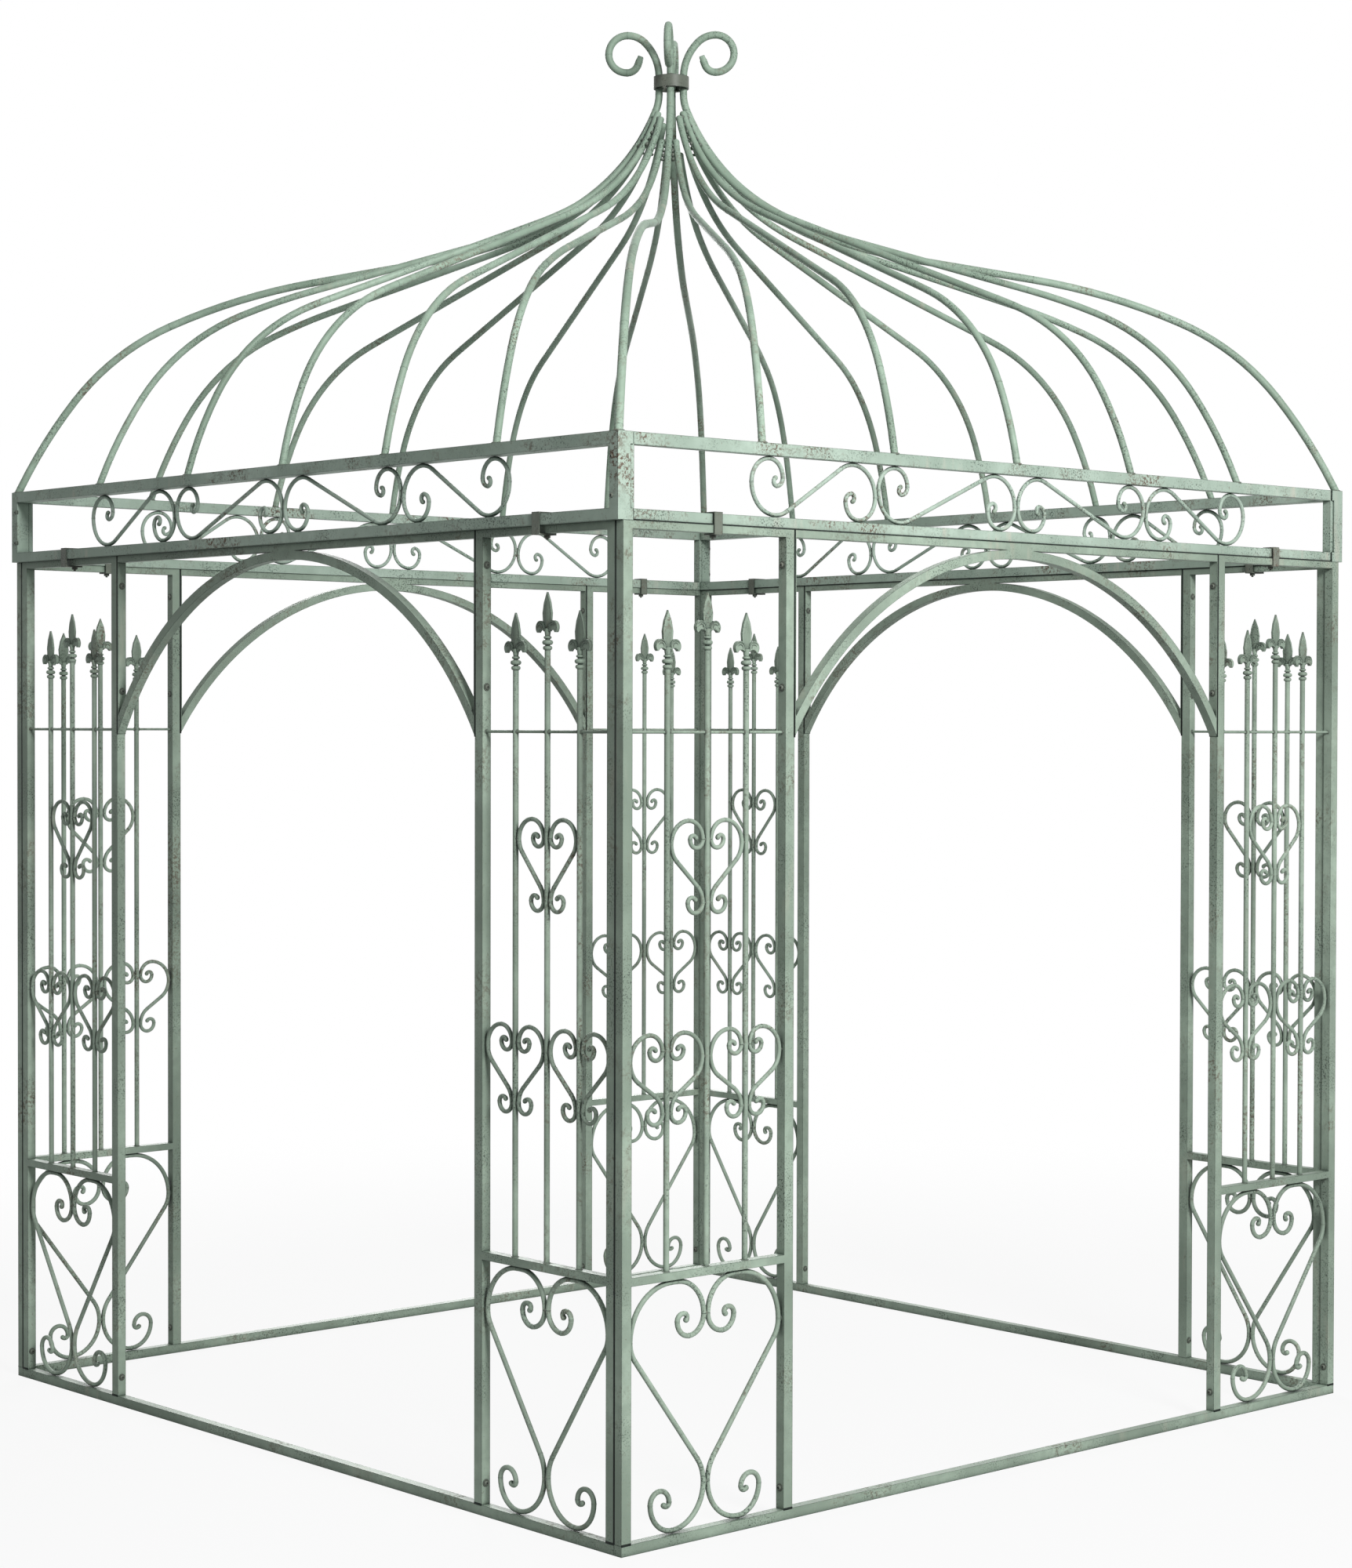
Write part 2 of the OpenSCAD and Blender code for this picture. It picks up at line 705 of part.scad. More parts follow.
module front_arch() { on_front() arch(panel_w, far_x); }
module back_arch() { on_back() arch(panel_w, far_x); }
module left_arch() { on_left() arch(panel_w, far_y); }
module right_arch() { on_right() arch(panel_w, far_y); }

module front_fascia() { on_front() end_fascia(); }
module back_fascia() { on_back() end_fascia(); }
module left_fascia() { on_left() side_fascia(); }
module right_fascia() { on_right() side_fascia(); }

module roof_clips() {
    on_front() end_clips();
    on_back() end_clips();
    on_left() side_clips();
    on_right() side_clips();
}

module front_left_rib() { corner_rib(-1, -1); }
module front_right_rib() { corner_rib(1, -1); }
module back_left_rib() { corner_rib(-1, 1); }
module back_right_rib() { corner_rib(1, 1); }

module front_ribs() { rotate([0, 0, -90]) side_ribs(foot_x, foot_y); }
module back_ribs() { rotate([0, 0, 90]) side_ribs(foot_x, foot_y); }
module left_ribs() { rotate([0, 0, 180]) side_ribs(foot_y, foot_x); }
module right_ribs() { side_ribs(foot_y, foot_x); }

front_sill();
back_sill();
left_sill();
right_sill();
front_left_panel();
front_right_panel();
back_left_panel();
back_right_panel();
left_front_panel();
left_back_panel();
right_front_panel();
right_back_panel();
front_arch();
back_arch();
left_arch();
right_arch();
front_fascia();
back_fascia();
left_fascia();
right_fascia();
roof_clips();
front_left_rib();
front_right_rib();
back_left_rib();
back_right_rib();
front_ribs();
back_ribs();
left_ribs();
right_ribs();
crown_collar();
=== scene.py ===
import math
import bpy
import bmesh
import numpy as np
from mathutils import Matrix, Vector


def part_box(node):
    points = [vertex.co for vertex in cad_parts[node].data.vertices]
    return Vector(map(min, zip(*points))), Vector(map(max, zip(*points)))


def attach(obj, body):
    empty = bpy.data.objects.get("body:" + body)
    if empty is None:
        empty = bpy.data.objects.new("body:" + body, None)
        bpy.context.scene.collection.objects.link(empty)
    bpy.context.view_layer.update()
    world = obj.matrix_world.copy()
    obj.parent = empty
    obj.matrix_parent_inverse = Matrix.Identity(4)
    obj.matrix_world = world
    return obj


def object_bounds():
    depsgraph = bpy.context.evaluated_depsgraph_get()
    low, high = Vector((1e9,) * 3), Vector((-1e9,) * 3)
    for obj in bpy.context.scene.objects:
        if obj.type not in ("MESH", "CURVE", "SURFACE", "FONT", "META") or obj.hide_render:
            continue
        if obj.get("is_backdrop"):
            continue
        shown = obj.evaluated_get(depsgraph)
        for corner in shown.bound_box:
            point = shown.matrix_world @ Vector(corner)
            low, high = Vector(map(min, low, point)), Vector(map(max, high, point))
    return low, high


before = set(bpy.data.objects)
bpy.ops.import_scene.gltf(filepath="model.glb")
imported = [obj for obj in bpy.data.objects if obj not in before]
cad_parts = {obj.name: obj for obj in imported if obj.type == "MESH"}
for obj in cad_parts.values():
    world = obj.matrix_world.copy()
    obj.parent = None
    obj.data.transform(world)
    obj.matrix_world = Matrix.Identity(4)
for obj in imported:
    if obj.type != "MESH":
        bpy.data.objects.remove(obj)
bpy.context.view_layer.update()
print("gazebo frame loaded:", len(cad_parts), "nodes")

# sizes of the ironwork, in metres
wallSizes = {"tubeFace": 0.025, "tubeDepth": 0.022, "midTop": 0.5455, "midLow": 0.5285, "headHeight": 0.016,
             "rod": 0.012, "wire": 0.009, "tie": 0.006, "tieHeight": 1.614, "weldGap": 0.0005,
             "spearHeight": 1.739, "spearLead": 0.039, "spearLength": 0.116, "seam": 0.0003}
ringSizes = {"topRail": 0.025, "lowRail": 0.023, "sideDepth": 0.040, "postDepth": 0.033,
             "setback": 0.003, "flat": 0.004, "outerScroll": 0.365, "innerScroll": 0.435,
             "clipPlace": 0.249, "boltSunk": 0.0018}
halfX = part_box("front_sill")[1].x
halfY = -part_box("front_sill")[0].y
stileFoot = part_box("front_left_panel")[0].z
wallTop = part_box("front_left_panel")[1].z
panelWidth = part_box("front_left_panel")[1].x + halfX
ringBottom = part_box("left_fascia")[0].z
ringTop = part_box("left_fascia")[1].z
ringProud = -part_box("left_fascia")[0].x - halfX
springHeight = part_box("front_arch")[0].z
cornerButt = wallSizes["tubeDepth"] + wallSizes["seam"]
rng = np.random.default_rng(7)


# faces of a batch of grids: count grids of rows by cols points, closed round the columns
def gridFaces(count, rows, cols, closeRows=False):
    r = np.arange(rows if closeRows else rows - 1)
    c = np.arange(cols)
    rr, cc = np.meshgrid(r, c, indexing="ij")
    nextR = (rr + 1) % rows
    nextC = (cc + 1) % cols
    quad = np.stack([rr * cols + cc, rr * cols + nextC, nextR * cols + nextC, nextR * cols + cc], -1)
    quad = quad.reshape(-1, 4)
    return (quad[None] + (np.arange(count) * rows * cols)[:, None, None]).reshape(-1, 4)


# a mesh object from arrays, its doubles merged and its faces turned outwards
def makePiece(name, points, faces, material, smoothAngle=50):
    mesh = bpy.data.meshes.new(name)
    mesh.from_pydata(points.reshape(-1, 3).tolist(), [], faces.tolist())
    bm = bmesh.new()
    bm.from_mesh(mesh)
    bmesh.ops.remove_doubles(bm, verts=bm.verts, dist=2e-6)
    bmesh.ops.dissolve_degenerate(bm, edges=bm.edges, dist=1e-7)
    bmesh.ops.recalc_face_normals(bm, faces=bm.faces)
    bm.to_mesh(mesh)
    bm.free()
    piece = bpy.data.objects.new(name, mesh)
    bpy.context.scene.collection.objects.link(piece)
    mesh.materials.append(material)
    mesh.shade_smooth()
    mesh.set_sharp_from_angle(angle=math.radians(smoothAngle))
    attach(piece, "root")
    print("made", name, "with", len(mesh.polygons), "faces")
    return piece


# two unit vectors square to each axis
def crossFrames(axes):
    axes = axes / np.linalg.norm(axes, axis=1, keepdims=True)
    helper = np.where(np.abs(axes[:, 2:3]) > 0.9, [[1.0, 0.0, 0.0]], [[0.0, 0.0, 1.0]])
    u = np.cross(helper, axes)
    u /= np.linalg.norm(u, axis=1, keepdims=True)
    return axes, u, np.cross(axes, u)


# a profile of (radius, height) turned round each axis:
# point = centre + height * axis + radius * (cos a * u + sin a * v)
def turned(centres, axes, profile, steps):
    axes, u, v = crossFrames(axes)
    a = np.linspace(0, 2 * math.pi, steps, endpoint=False)
    ring = np.cos(a)[None, :, None] * u[:, None] + np.sin(a)[None, :, None] * v[:, None]
    radius, height = profile[:, 0], profile[:, 1]
    points = (centres[:, None, None] + height[None, :, None, None] * axes[:, None, None]
              + radius[None, :, None, None] * ring[:, None])
    return points, gridFaces(len(centres), len(profile), steps)


# a lumpy bead round each axis: a small circle carried round a ring of radius ringRadius,
# its own radius beadRadius * (1 + lump * sum of sines of the angle)
def ringBeads(centres, axes, ringRadius, beadRadius, lump=0.22, steps=28, sides=8):
    axes, u, v = crossFrames(axes)
    n = len(centres)
    a = np.linspace(0, 2 * math.pi, steps, endpoint=False)
    phase = rng.uniform(0, 6.28, (n, 3))
    wave = (np.sin(3 * a + phase[:, :1]) + 0.7 * np.sin(5 * a + phase[:, 1:2])
            + 0.5 * np.sin(8 * a + phase[:, 2:3])) / 2.2
    bead = np.broadcast_to(np.asarray(beadRadius), (n,))[:, None] * (1 + lump * wave)
    ringR = np.broadcast_to(np.asarray(ringRadius), (n,))
    out = np.cos(a)[None, :, None] * u[:, None] + np.sin(a)[None, :, None] * v[:, None]
    b = np.linspace(0, 2 * math.pi, sides, endpoint=False)
    points = (centres[:, None, None] + ringR[:, None, None, None] * out[:, :, None]
              + bead[:, :, None, None] * (np.cos(b)[None, None, :, None] * out[:, :, None]
                                          + np.sin(b)[None, None, :, None] * axes[:, None, None]))
    return points, gridFaces(n, steps, sides, closeRows=True)


# lumps of weld: an ellipsoid of three half sizes about each centre, its surface swollen by
# 1 + lump * sin(2 * longitude + p) * sin(3 * latitude + q)
def weldLumps(centres, sizes, lump=0.16, rows=9, cols=12):
    n = len(centres)
    lat = np.linspace(0, math.pi, rows)
    lon = np.linspace(0, 2 * math.pi, cols, endpoint=False)
    la, lo = np.meshgrid(lat, lon, indexing="ij")
    phase = rng.uniform(0, 6.28, (n, 2))
    swell = 1 + (lump * np.sin(2 * lo[None] + phase[:, :1, None])
                 * np.sin(3 * la[None] + phase[:, 1:, None]) * np.sin(la)[None])
    unit = np.stack([np.sin(la) * np.cos(lo), np.sin(la) * np.sin(lo), np.cos(la)], -1)
    points = centres[:, None, None] + unit[None] * swell[..., None] * sizes[:, None, None]
    return points, gridFaces(n, rows, cols)


# tubes along flat paths: point = path + radius * (cos a * side + sin a * (tangent x side)),
# with the path's two ends drawn to a point so that the tube closes
def tubesAlong(paths, side, radii, sides=8):
    tangent = np.gradient(paths, axis=1)
    tangent /= np.linalg.norm(tangent, axis=2, keepdims=True)
    side = np.broadcast_to(np.asarray(side, float)[:, None], paths.shape)
    other = np.cross(tangent, side)
    other /= np.linalg.norm(other, axis=2, keepdims=True)
    a = np.linspace(0, 2 * math.pi, sides, endpoint=False)[None, None, :, None]
    radii = np.broadcast_to(radii, paths.shape[:2]).copy()
    radii[:, 0] = radii[:, -1] = 0
    ring = np.cos(a) * side[:, :, None] + np.sin(a) * other[:, :, None]
    points = paths[:, :, None] + radii[:, :, None, None] * ring
    return points, gridFaces(len(paths), paths.shape[1], sides)


def joinGrids(parts):
    points, faces, base = [], [], 0
    for p, f in parts:
        points.append(p.reshape(-1, 3))
        faces.append(f + base)
        base += len(points[-1])
    return np.concatenate(points), np.concatenate(faces)


# the four walls as origin, direction along, direction inwards and length;
# seen from outside, x runs to the right, y runs inwards and z up
wallFrames = {
    "front": (Vector((-halfX, -halfY, 0)), Vector((1, 0, 0)), Vector((0, 1, 0)), 2 * halfX),
    "back": (Vector((halfX, halfY, 0)), Vector((-1, 0, 0)), Vector((0, -1, 0)), 2 * halfX),
    "left": (Vector((-halfX, halfY, 0)), Vector((0, -1, 0)), Vector((1, 0, 0)), 2 * halfY),
    "right": (Vector((halfX, -halfY, 0)), Vector((0, 1, 0)), Vector((-1, 0, 0)), 2 * halfY),
}


def onWall(side, x, y, z):
    origin, along, inward, _ = wallFrames[side]
    return tuple(origin + along * x + inward * y + Vector((0, 0, z)))


# start and width of the two scrollwork bays of a wall
def baysOf(side):
    length = wallFrames[side][3]
    if side in ("front", "back"):
        return [(0.0, panelWidth), (length - panelWidth, panelWidth)]
    return [(cornerButt, panelWidth - cornerButt), (length - panelWidth, panelWidth - cornerButt)]


# the middles of a bay's three rods, and half the space that a wire may fill beside each
def rodsOf(start, width):
    gap = (width - 2 * wallSizes["tubeFace"] - wallSizes["rod"]) / 2
    pitch = wallSizes["rod"] / 2 + gap / 2
    middle = start + width / 2
    return [(middle - pitch, -1), (middle, 0), (middle + pitch, 1)], gap, pitch


bays = [(side, start, width) for side in wallFrames for start, width in baysOf(side)]
rodDepth = wallSizes["tubeDepth"] / 2


# screen colour to light: ((c + 0.055) / 1.055) to the power 2.4, or c / 12.92 when dark
def linear(r, g, b):
    bright = [((c / 255 + 0.055) / 1.055) ** 2.4 if c > 10 else c / 255 / 12.92 for c in (r, g, b)]
    return (*bright, 1.0)


# each paint's edge colour is the painted shade laid on rounded tube corners and in the nooks between parts
paintSettings = {
    "frame": {"pale": (166, 184, 167), "deep": (126, 141, 127), "rust": (98, 84, 72), "pit": (40, 48, 43),
              "worn": (182, 178, 162), "edge": (44, 56, 49),
              "rustAmount": 0.42, "wornAmount": 0.34, "roughness": 0.62},
    "ring": {"pale": (182, 200, 186), "deep": (148, 166, 152), "rust": (104, 88, 76), "pit": (44, 54, 48),
             "worn": (200, 192, 178), "edge": (44, 58, 50),
             "rustAmount": 0.55, "wornAmount": 0.45, "roughness": 0.6},
    "dome": {"pale": (168, 190, 172), "deep": (128, 148, 131), "rust": (112, 94, 80), "pit": (42, 48, 44),
             "worn": (190, 184, 168), "edge": (50, 62, 54),
             "rustAmount": 0.42, "wornAmount": 0.45, "nookShade": 0.5, "roughness": 0.6},
    "fixings": {"pale": (128, 136, 124), "deep": (92, 98, 88), "rust": (90, 74, 62), "pit": (36, 40, 37),
                "worn": (160, 154, 142), "edge": (34, 40, 36),
                "rustAmount": 0.6, "wornAmount": 0.4, "roughness": 0.55},
    "cast": {"pale": (150, 166, 150), "deep": (108, 122, 109), "rust": (96, 82, 70), "pit": (36, 44, 39),
             "worn": (178, 176, 162), "edge": (40, 50, 44),
             "rustAmount": 0.45, "wornAmount": 0.4, "roughness": 0.6},
    "weld": {"pale": (132, 142, 130), "deep": (94, 102, 92), "rust": (98, 82, 70), "pit": (36, 40, 37),
             "worn": (162, 156, 142), "edge": (46, 52, 46),
             "rustAmount": 0.6, "wornAmount": 0.35, "roughness": 0.6},
    # the dark colours of the painted shadow strips in the grooves between frames
    "joint": {"pale": (26, 38, 32), "deep": (16, 26, 21), "rust": (44, 38, 32), "pit": (8, 12, 10),
              "worn": (40, 48, 42), "edge": (16, 24, 20),
              "rustAmount": 0.3, "wornAmount": 0.2, "roughness": 0.8},
}


# each pattern is a noise of (scale, detail, roughness), kept between its low and high mark
patternSettings = {
    "cloud": ((3.2, 4, 0.55), 0.30, 0.72), "mottle": ((38, 5, 0.6), 0.35, 0.68),
    "streak": ((30, 5, 0.62, (1, 1, 0.16)), 0.52, 0.70), "streakPatch": ((2.1, 2, 0.5), 0.46, 0.68),
    "rustPatch": ((6.5, 5, 0.66), 0.50, 0.68), "speckle": ((150, 4, 0.72), 0.48, 0.57),
    "freckle": ((120, 3, 0.65), 0.63, 0.72), "pit": ((260, 3, 0.72), 0.53, 0.62),
    "pitPatch": ((6, 3, 0.6), 0.44, 0.64), "edgeRadius": 0.0022, "edgeMarks": (0.999, 0.90),
    "nookDistance": 0.014, "nookMarks": (0.90, 0.40), "raySamples": 4, "mottleShare": 0.42,
    "rustShare": 1.9, "pitShare": 0.9, "edgeShadeShare": 0.92, "nookShadeShare": 0.90, "smoother": 0.08,
    "rougher": 0.24, "gloss": 0.3, "grain": (330, 5, 0.65), "grainStrength": 0.35, "grainDepth": 0.0006,
}


def weatheredPaint(name, s, marks=patternSettings):
    material = bpy.data.materials.new(name)
    material.use_nodes = True
    nodes, links = material.node_tree.nodes, material.node_tree.links
    nodes.clear()
    output = nodes.new("ShaderNodeOutputMaterial")
    shader = nodes.new("ShaderNodeBsdfPrincipled")
    place = nodes.new("ShaderNodeTexCoord")
    links.new(shader.outputs["BSDF"], output.inputs["Surface"])

    def noise(scale, detail, roughness, stretch=(1, 1, 1)):
        mapping = nodes.new("ShaderNodeMapping")
        mapping.inputs["Scale"].default_value = stretch
        links.new(place.outputs["Object"], mapping.inputs["Vector"])
        tex = nodes.new("ShaderNodeTexNoise")
        tex.inputs["Scale"].default_value = scale
        tex.inputs["Detail"].default_value = detail
        tex.inputs["Roughness"].default_value = roughness
        links.new(mapping.outputs["Vector"], tex.inputs["Vector"])
        return tex.outputs["Fac"]

    def ramp(source, low, high):
        r = nodes.new("ShaderNodeMapRange")
        r.interpolation_type = "SMOOTHSTEP"
        r.inputs["From Min"].default_value = low
        r.inputs["From Max"].default_value = high
        links.new(source, r.inputs["Value"])
        return r.outputs["Result"]

    def pattern(kind):
        noiseValues, low, high = marks[kind]
        return ramp(noise(*noiseValues), low, high)

    def times(a, b):
        m = nodes.new("ShaderNodeMath")
        m.operation = "MULTIPLY"
        for socket, value in zip(m.inputs, (a, b)):
            if isinstance(value, (int, float)):
                socket.default_value = value
            else:
                links.new(value, socket)
        return m.outputs[0]

    def mix(factor, a, b):
        m = nodes.new("ShaderNodeMix")
        m.data_type = "RGBA"
        links.new(factor, m.inputs["Factor"])
        for socket, value in ((m.inputs["A"], a), (m.inputs["B"], b)):
            if isinstance(value, tuple):
                socket.default_value = value
            else:
                links.new(value, socket)
        return m.outputs["Result"]

    # painted shade on the tube edges where the corner rounds over: mask from dot(rounded normal, face normal)
    rounded = nodes.new("ShaderNodeBevel")
    rounded.samples = marks["raySamples"]
    rounded.inputs["Radius"].default_value = marks["edgeRadius"]
    shape = nodes.new("ShaderNodeNewGeometry")
    agree = nodes.new("ShaderNodeVectorMath")
    agree.operation = "DOT_PRODUCT"
    links.new(rounded.outputs["Normal"], agree.inputs[0])
    links.new(shape.outputs["Normal"], agree.inputs[1])
    edgeShadeMask = ramp(agree.outputs["Value"], *marks["edgeMarks"])
    # painted shade where faces stand close together
    nookShade = nodes.new("ShaderNodeAmbientOcclusion")
    nookShade.samples = marks["raySamples"]
    nookShade.inputs["Distance"].default_value = marks["nookDistance"]
    nookShadeMask = ramp(nookShade.outputs["AO"], *marks["nookMarks"])

    colour = mix(pattern("cloud"), linear(*s["deep"]), linear(*s["pale"]))
    colour = mix(times(pattern("mottle"), marks["mottleShare"]), colour, linear(*s["deep"]))
    # chalky worn streaks run up the metal
    wornMask = times(pattern("streak"), pattern("streakPatch"))
    colour = mix(times(wornMask, s["wornAmount"]), colour, linear(*s["worn"]))
    # rust in patches, broken up by fine speckle
    rustMask = times(times(pattern("rustPatch"), pattern("speckle")), s["rustAmount"] * marks["rustShare"])
    colour = mix(rustMask, colour, linear(*s["rust"]))
    colour = mix(times(pattern("freckle"), s["rustAmount"]), colour, linear(*s["rust"]))
    # fine dark pitting
    pitMask = times(pattern("pit"), pattern("pitPatch"))
    colour = mix(times(pitMask, marks["pitShare"]), colour, linear(*s["pit"]))
    # painted shade: the edge colour darkens the rounded tube corners
    colour = mix(times(edgeShadeMask, marks["edgeShadeShare"]), colour, linear(*s["edge"]))
    # painted shade in the nooks between parts, in the edge colour
    colour = mix(times(nookShadeMask, s.get("nookShade", marks["nookShadeShare"])), colour, linear(*s["edge"]))
    links.new(colour, shader.inputs["Base Color"])
    rough = nodes.new("ShaderNodeMapRange")
    rough.inputs["To Min"].default_value = s["roughness"] - marks["smoother"]
    rough.inputs["To Max"].default_value = s["roughness"] + marks["rougher"]
    links.new(rustMask, rough.inputs["Value"])
    links.new(rough.outputs["Result"], shader.inputs["Roughness"])
    shader.inputs["Specular IOR Level"].default_value = marks["gloss"]
    bump = nodes.new("ShaderNodeBump")
    bump.inputs["Strength"].default_value = marks["grainStrength"]
    bump.inputs["Distance"].default_value = marks["grainDepth"]
    links.new(noise(*marks["grain"]), bump.inputs["Height"])
    links.new(bump.outputs["Normal"], shader.inputs["Normal"])
    return material


framePaint = weatheredPaint("framePaint", paintSettings["frame"])
ringPaint = weatheredPaint("ringPaint", paintSettings["ring"])
domePaint = weatheredPaint("domePaint", paintSettings["dome"])
fixingPaint = weatheredPaint("fixingPaint", paintSettings["fixings"])
castPaint = weatheredPaint("castPaint", paintSettings["cast"])
weldPaint = weatheredPaint("weldPaint", paintSettings["weld"])
# the painted shadow paint for the groove strips
grooveShadowPaint = weatheredPaint("grooveShadowPaint", paintSettings["joint"])
for name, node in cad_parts.items():
    paint = domePaint if name.endswith("_rib") or name.endswith("_ribs") else framePaint
    if name.endswith("_fascia"):
        paint = ringPaint
    if name in ("crown_collar", "roof_clips"):
        paint = fixingPaint
    for slot in node.material_slots:
        slot.material = paint
print("paint laid on the frame")

# bolts that hold the frames together
boltSettings = {"washer": 0.0080, "washerThick": 0.0014, "head": 0.0054, "headHeight": 0.0036,
                "socket": 0.0021, "stileHeight": 0.066, "archHeights": (1.955, 1.705),
                "ringSpread": 0.038, "ringInset": 0.019}


# washer, domed head and its socket, as (radius, height) round the bolt's axis
def boltProfile(s):
    dome = np.linspace(0.05, 1.15, 6)
    top = s["washerThick"] + s["headHeight"]
    washer = [(0.0, -0.001), (s["washer"], -0.001), (s["washer"], s["washerThick"] * 0.6),
              (s["washer"] * 0.93, s["washerThick"]), (s["head"], s["washerThick"])]
    cap = [(s["head"] * math.cos(t), s["washerThick"] + s["headHeight"] * math.sin(t)) for t in dome]
    socket = [(s["socket"], top - 0.0002), (s["socket"] * 0.95, top - 0.0016), (0.0, top - 0.0016)]
    return np.array(washer + cap + socket)


boltPlaces = []


def addBolt(centre, axis):
    boltPlaces.append((centre, axis))


for side, start, width in bays:
    origin, along, inward, length = wallFrames[side]
    for face, sign in ((start + wallSizes["tubeFace"], 1), (start + width - wallSizes["tubeFace"], -1)):
        addBolt(onWall(side, face, rodDepth, boltSettings["stileHeight"]), tuple(along * sign))
for side, (origin, along, inward, length) in wallFrames.items():
    flat = ringSizes["flat"] + wallSizes["seam"]
    for edge, sign in ((panelWidth, 1), (length - panelWidth, -1)):
        for height in boltSettings["archHeights"]:
            addBolt(onWall(side, edge + sign * flat, rodDepth, height), tuple(along * sign))
            addBolt(onWall(side, edge - sign * wallSizes["tubeFace"], rodDepth, height), tuple(along * -sign))
        addBolt(onWall(side, edge, rodDepth, boltSettings["stileHeight"]), tuple(along * sign))
ringMiddle = (ringBottom + ringSizes["lowRail"] + ringTop - ringSizes["topRail"]) / 2
for sx in (-1, 1):
    for sy in (-1, 1):
        for dz in (-1, 1):
            z = ringMiddle + dz * boltSettings["ringSpread"]
            postOuter = halfX + ringProud
            outerX = sx * (postOuter - ringSizes["boltSunk"])
            addBolt((outerX, sy * (halfY - boltSettings["ringInset"]), z), (sx, 0, 0))
            postInner = postOuter - ringSizes["postDepth"] - ringSizes["flat"] - wallSizes["seam"]
            addBolt((sx * postInner, sy * (halfY - ringSizes["setback"] - rodDepth), z), (-sx, 0, 0))
centres, axes = (np.array(v, float) for v in zip(*boltPlaces))
makePiece("bolts", *turned(centres, axes, boltProfile(boltSettings), 20), fixingPaint, 35)


# nuts under the roof straps
nutSettings = {"nut": 0.0068, "nutHeight": 0.0055, "stud": 0.003, "studLength": 0.009}


# a six-sided nut with its stud showing below, as (radius, height)
def nutProfile(s):
    return np.array([(0.0, -0.001), (s["nut"] * 0.93, -0.001), (s["nut"], 0.0008),
                     (s["nut"], s["nutHeight"] - 0.001), (s["nut"] * 0.88, s["nutHeight"]),
                     (s["stud"], s["nutHeight"]), (s["stud"], s["studLength"] - 0.0008),
                     (s["stud"] * 0.7, s["studLength"]), (0.0, s["studLength"])])


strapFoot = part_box("roof_clips")[0].z
strapBack = max(wallSizes["tubeDepth"], ringSizes["setback"] + wallSizes["tubeDepth"])
nutPlaces = []
for side, (origin, along, inward, length) in wallFrames.items():
    depth = strapBack if side in ("front", "back") else ringSizes["sideDepth"] - ringProud
    for x in (ringSizes["clipPlace"], length - ringSizes["clipPlace"]):
        nutPlaces.append(onWall(side, x, depth * 0.55, strapFoot))
nutPlaces = np.array(nutPlaces, float)
makePiece("strapNuts", *turned(nutPlaces, np.tile([0, 0, -1.0], (len(nutPlaces), 1)),
                               nutProfile(nutSettings), 6), fixingPaint, 25)


# painted shadow: dark strips along the grooves between the bolted frames, where shade falls
jointSettings = {"halfWidth": 0.0026, "proud": 0.0005, "arc": 7}


# a low strip of painted shadow along each straight seam: across it the section is x = w cos a, y = p sin a
def jointStrips(lines, s):
    a = np.linspace(0, 2 * math.pi, 2 * s["arc"], endpoint=False)
    starts, ends, outs = (np.array(v, float) for v in zip(*lines))
    along = ends - starts
    along /= np.linalg.norm(along, axis=1, keepdims=True)
    across = np.cross(along, outs)
    ring = (s["halfWidth"] * np.cos(a)[None, :, None] * across[:, None]
            + s["proud"] * np.sin(a)[None, :, None] * outs[:, None])
    spine = np.stack([starts, starts, ends, ends], 1)[:, :, None]
    rows = spine + ring[:, None] * np.array([0, 1, 1, 0])[None, :, None, None]
    return rows, gridFaces(len(lines), 4, len(a))


jointLines = []
seamHeight = wallTop + wallSizes["seam"] / 2
for side, (origin, along, inward, length) in wallFrames.items():
    out = tuple(-inward)
    if side in ("front", "back"):
        jointLines.append((onWall(side, 0.001, 0.0012, seamHeight),
                           onWall(side, length - 0.001, 0.0012, seamHeight), out))
        for x in (ringSizes["sideDepth"] - ringProud, length - ringSizes["sideDepth"] + ringProud):
            for low, high in ((ringBottom, ringBottom + ringSizes["lowRail"]),
                              (ringTop - ringSizes["topRail"], ringTop)):
                jointLines.append((onWall(side, x, ringSizes["setback"] * 0.6, low + 0.001),
                                   onWall(side, x, ringSizes["setback"] * 0.6, high - 0.001), out))
    else:
        for x in (cornerButt, length - cornerButt):
            jointLines.append((onWall(side, x, 0, stileFoot), onWall(side, x, 0, wallTop), out))
        jointLines.append((onWall(side, cornerButt, wallSizes["tubeDepth"], seamHeight),
                           onWall(side, length - cornerButt, wallSizes["tubeDepth"], seamHeight),
                           tuple(inward)))
    for edge in (panelWidth, length - panelWidth):
        for depth, facing in ((0, out), (wallSizes["tubeDepth"], tuple(inward))):
            jointLines.append((onWall(side, edge, depth, springHeight),
                               onWall(side, edge, depth, wallTop), facing))
    for start, width in baysOf(side):
        for x in (start, start + width - wallSizes["tubeFace"]):
            jointLines.append((onWall(side, x, 0, stileFoot),
                               onWall(side, x + wallSizes["tubeFace"], 0, stileFoot), out))
makePiece("jointLines", *jointStrips(jointLines, jointSettings), grooveShadowPaint, 180)


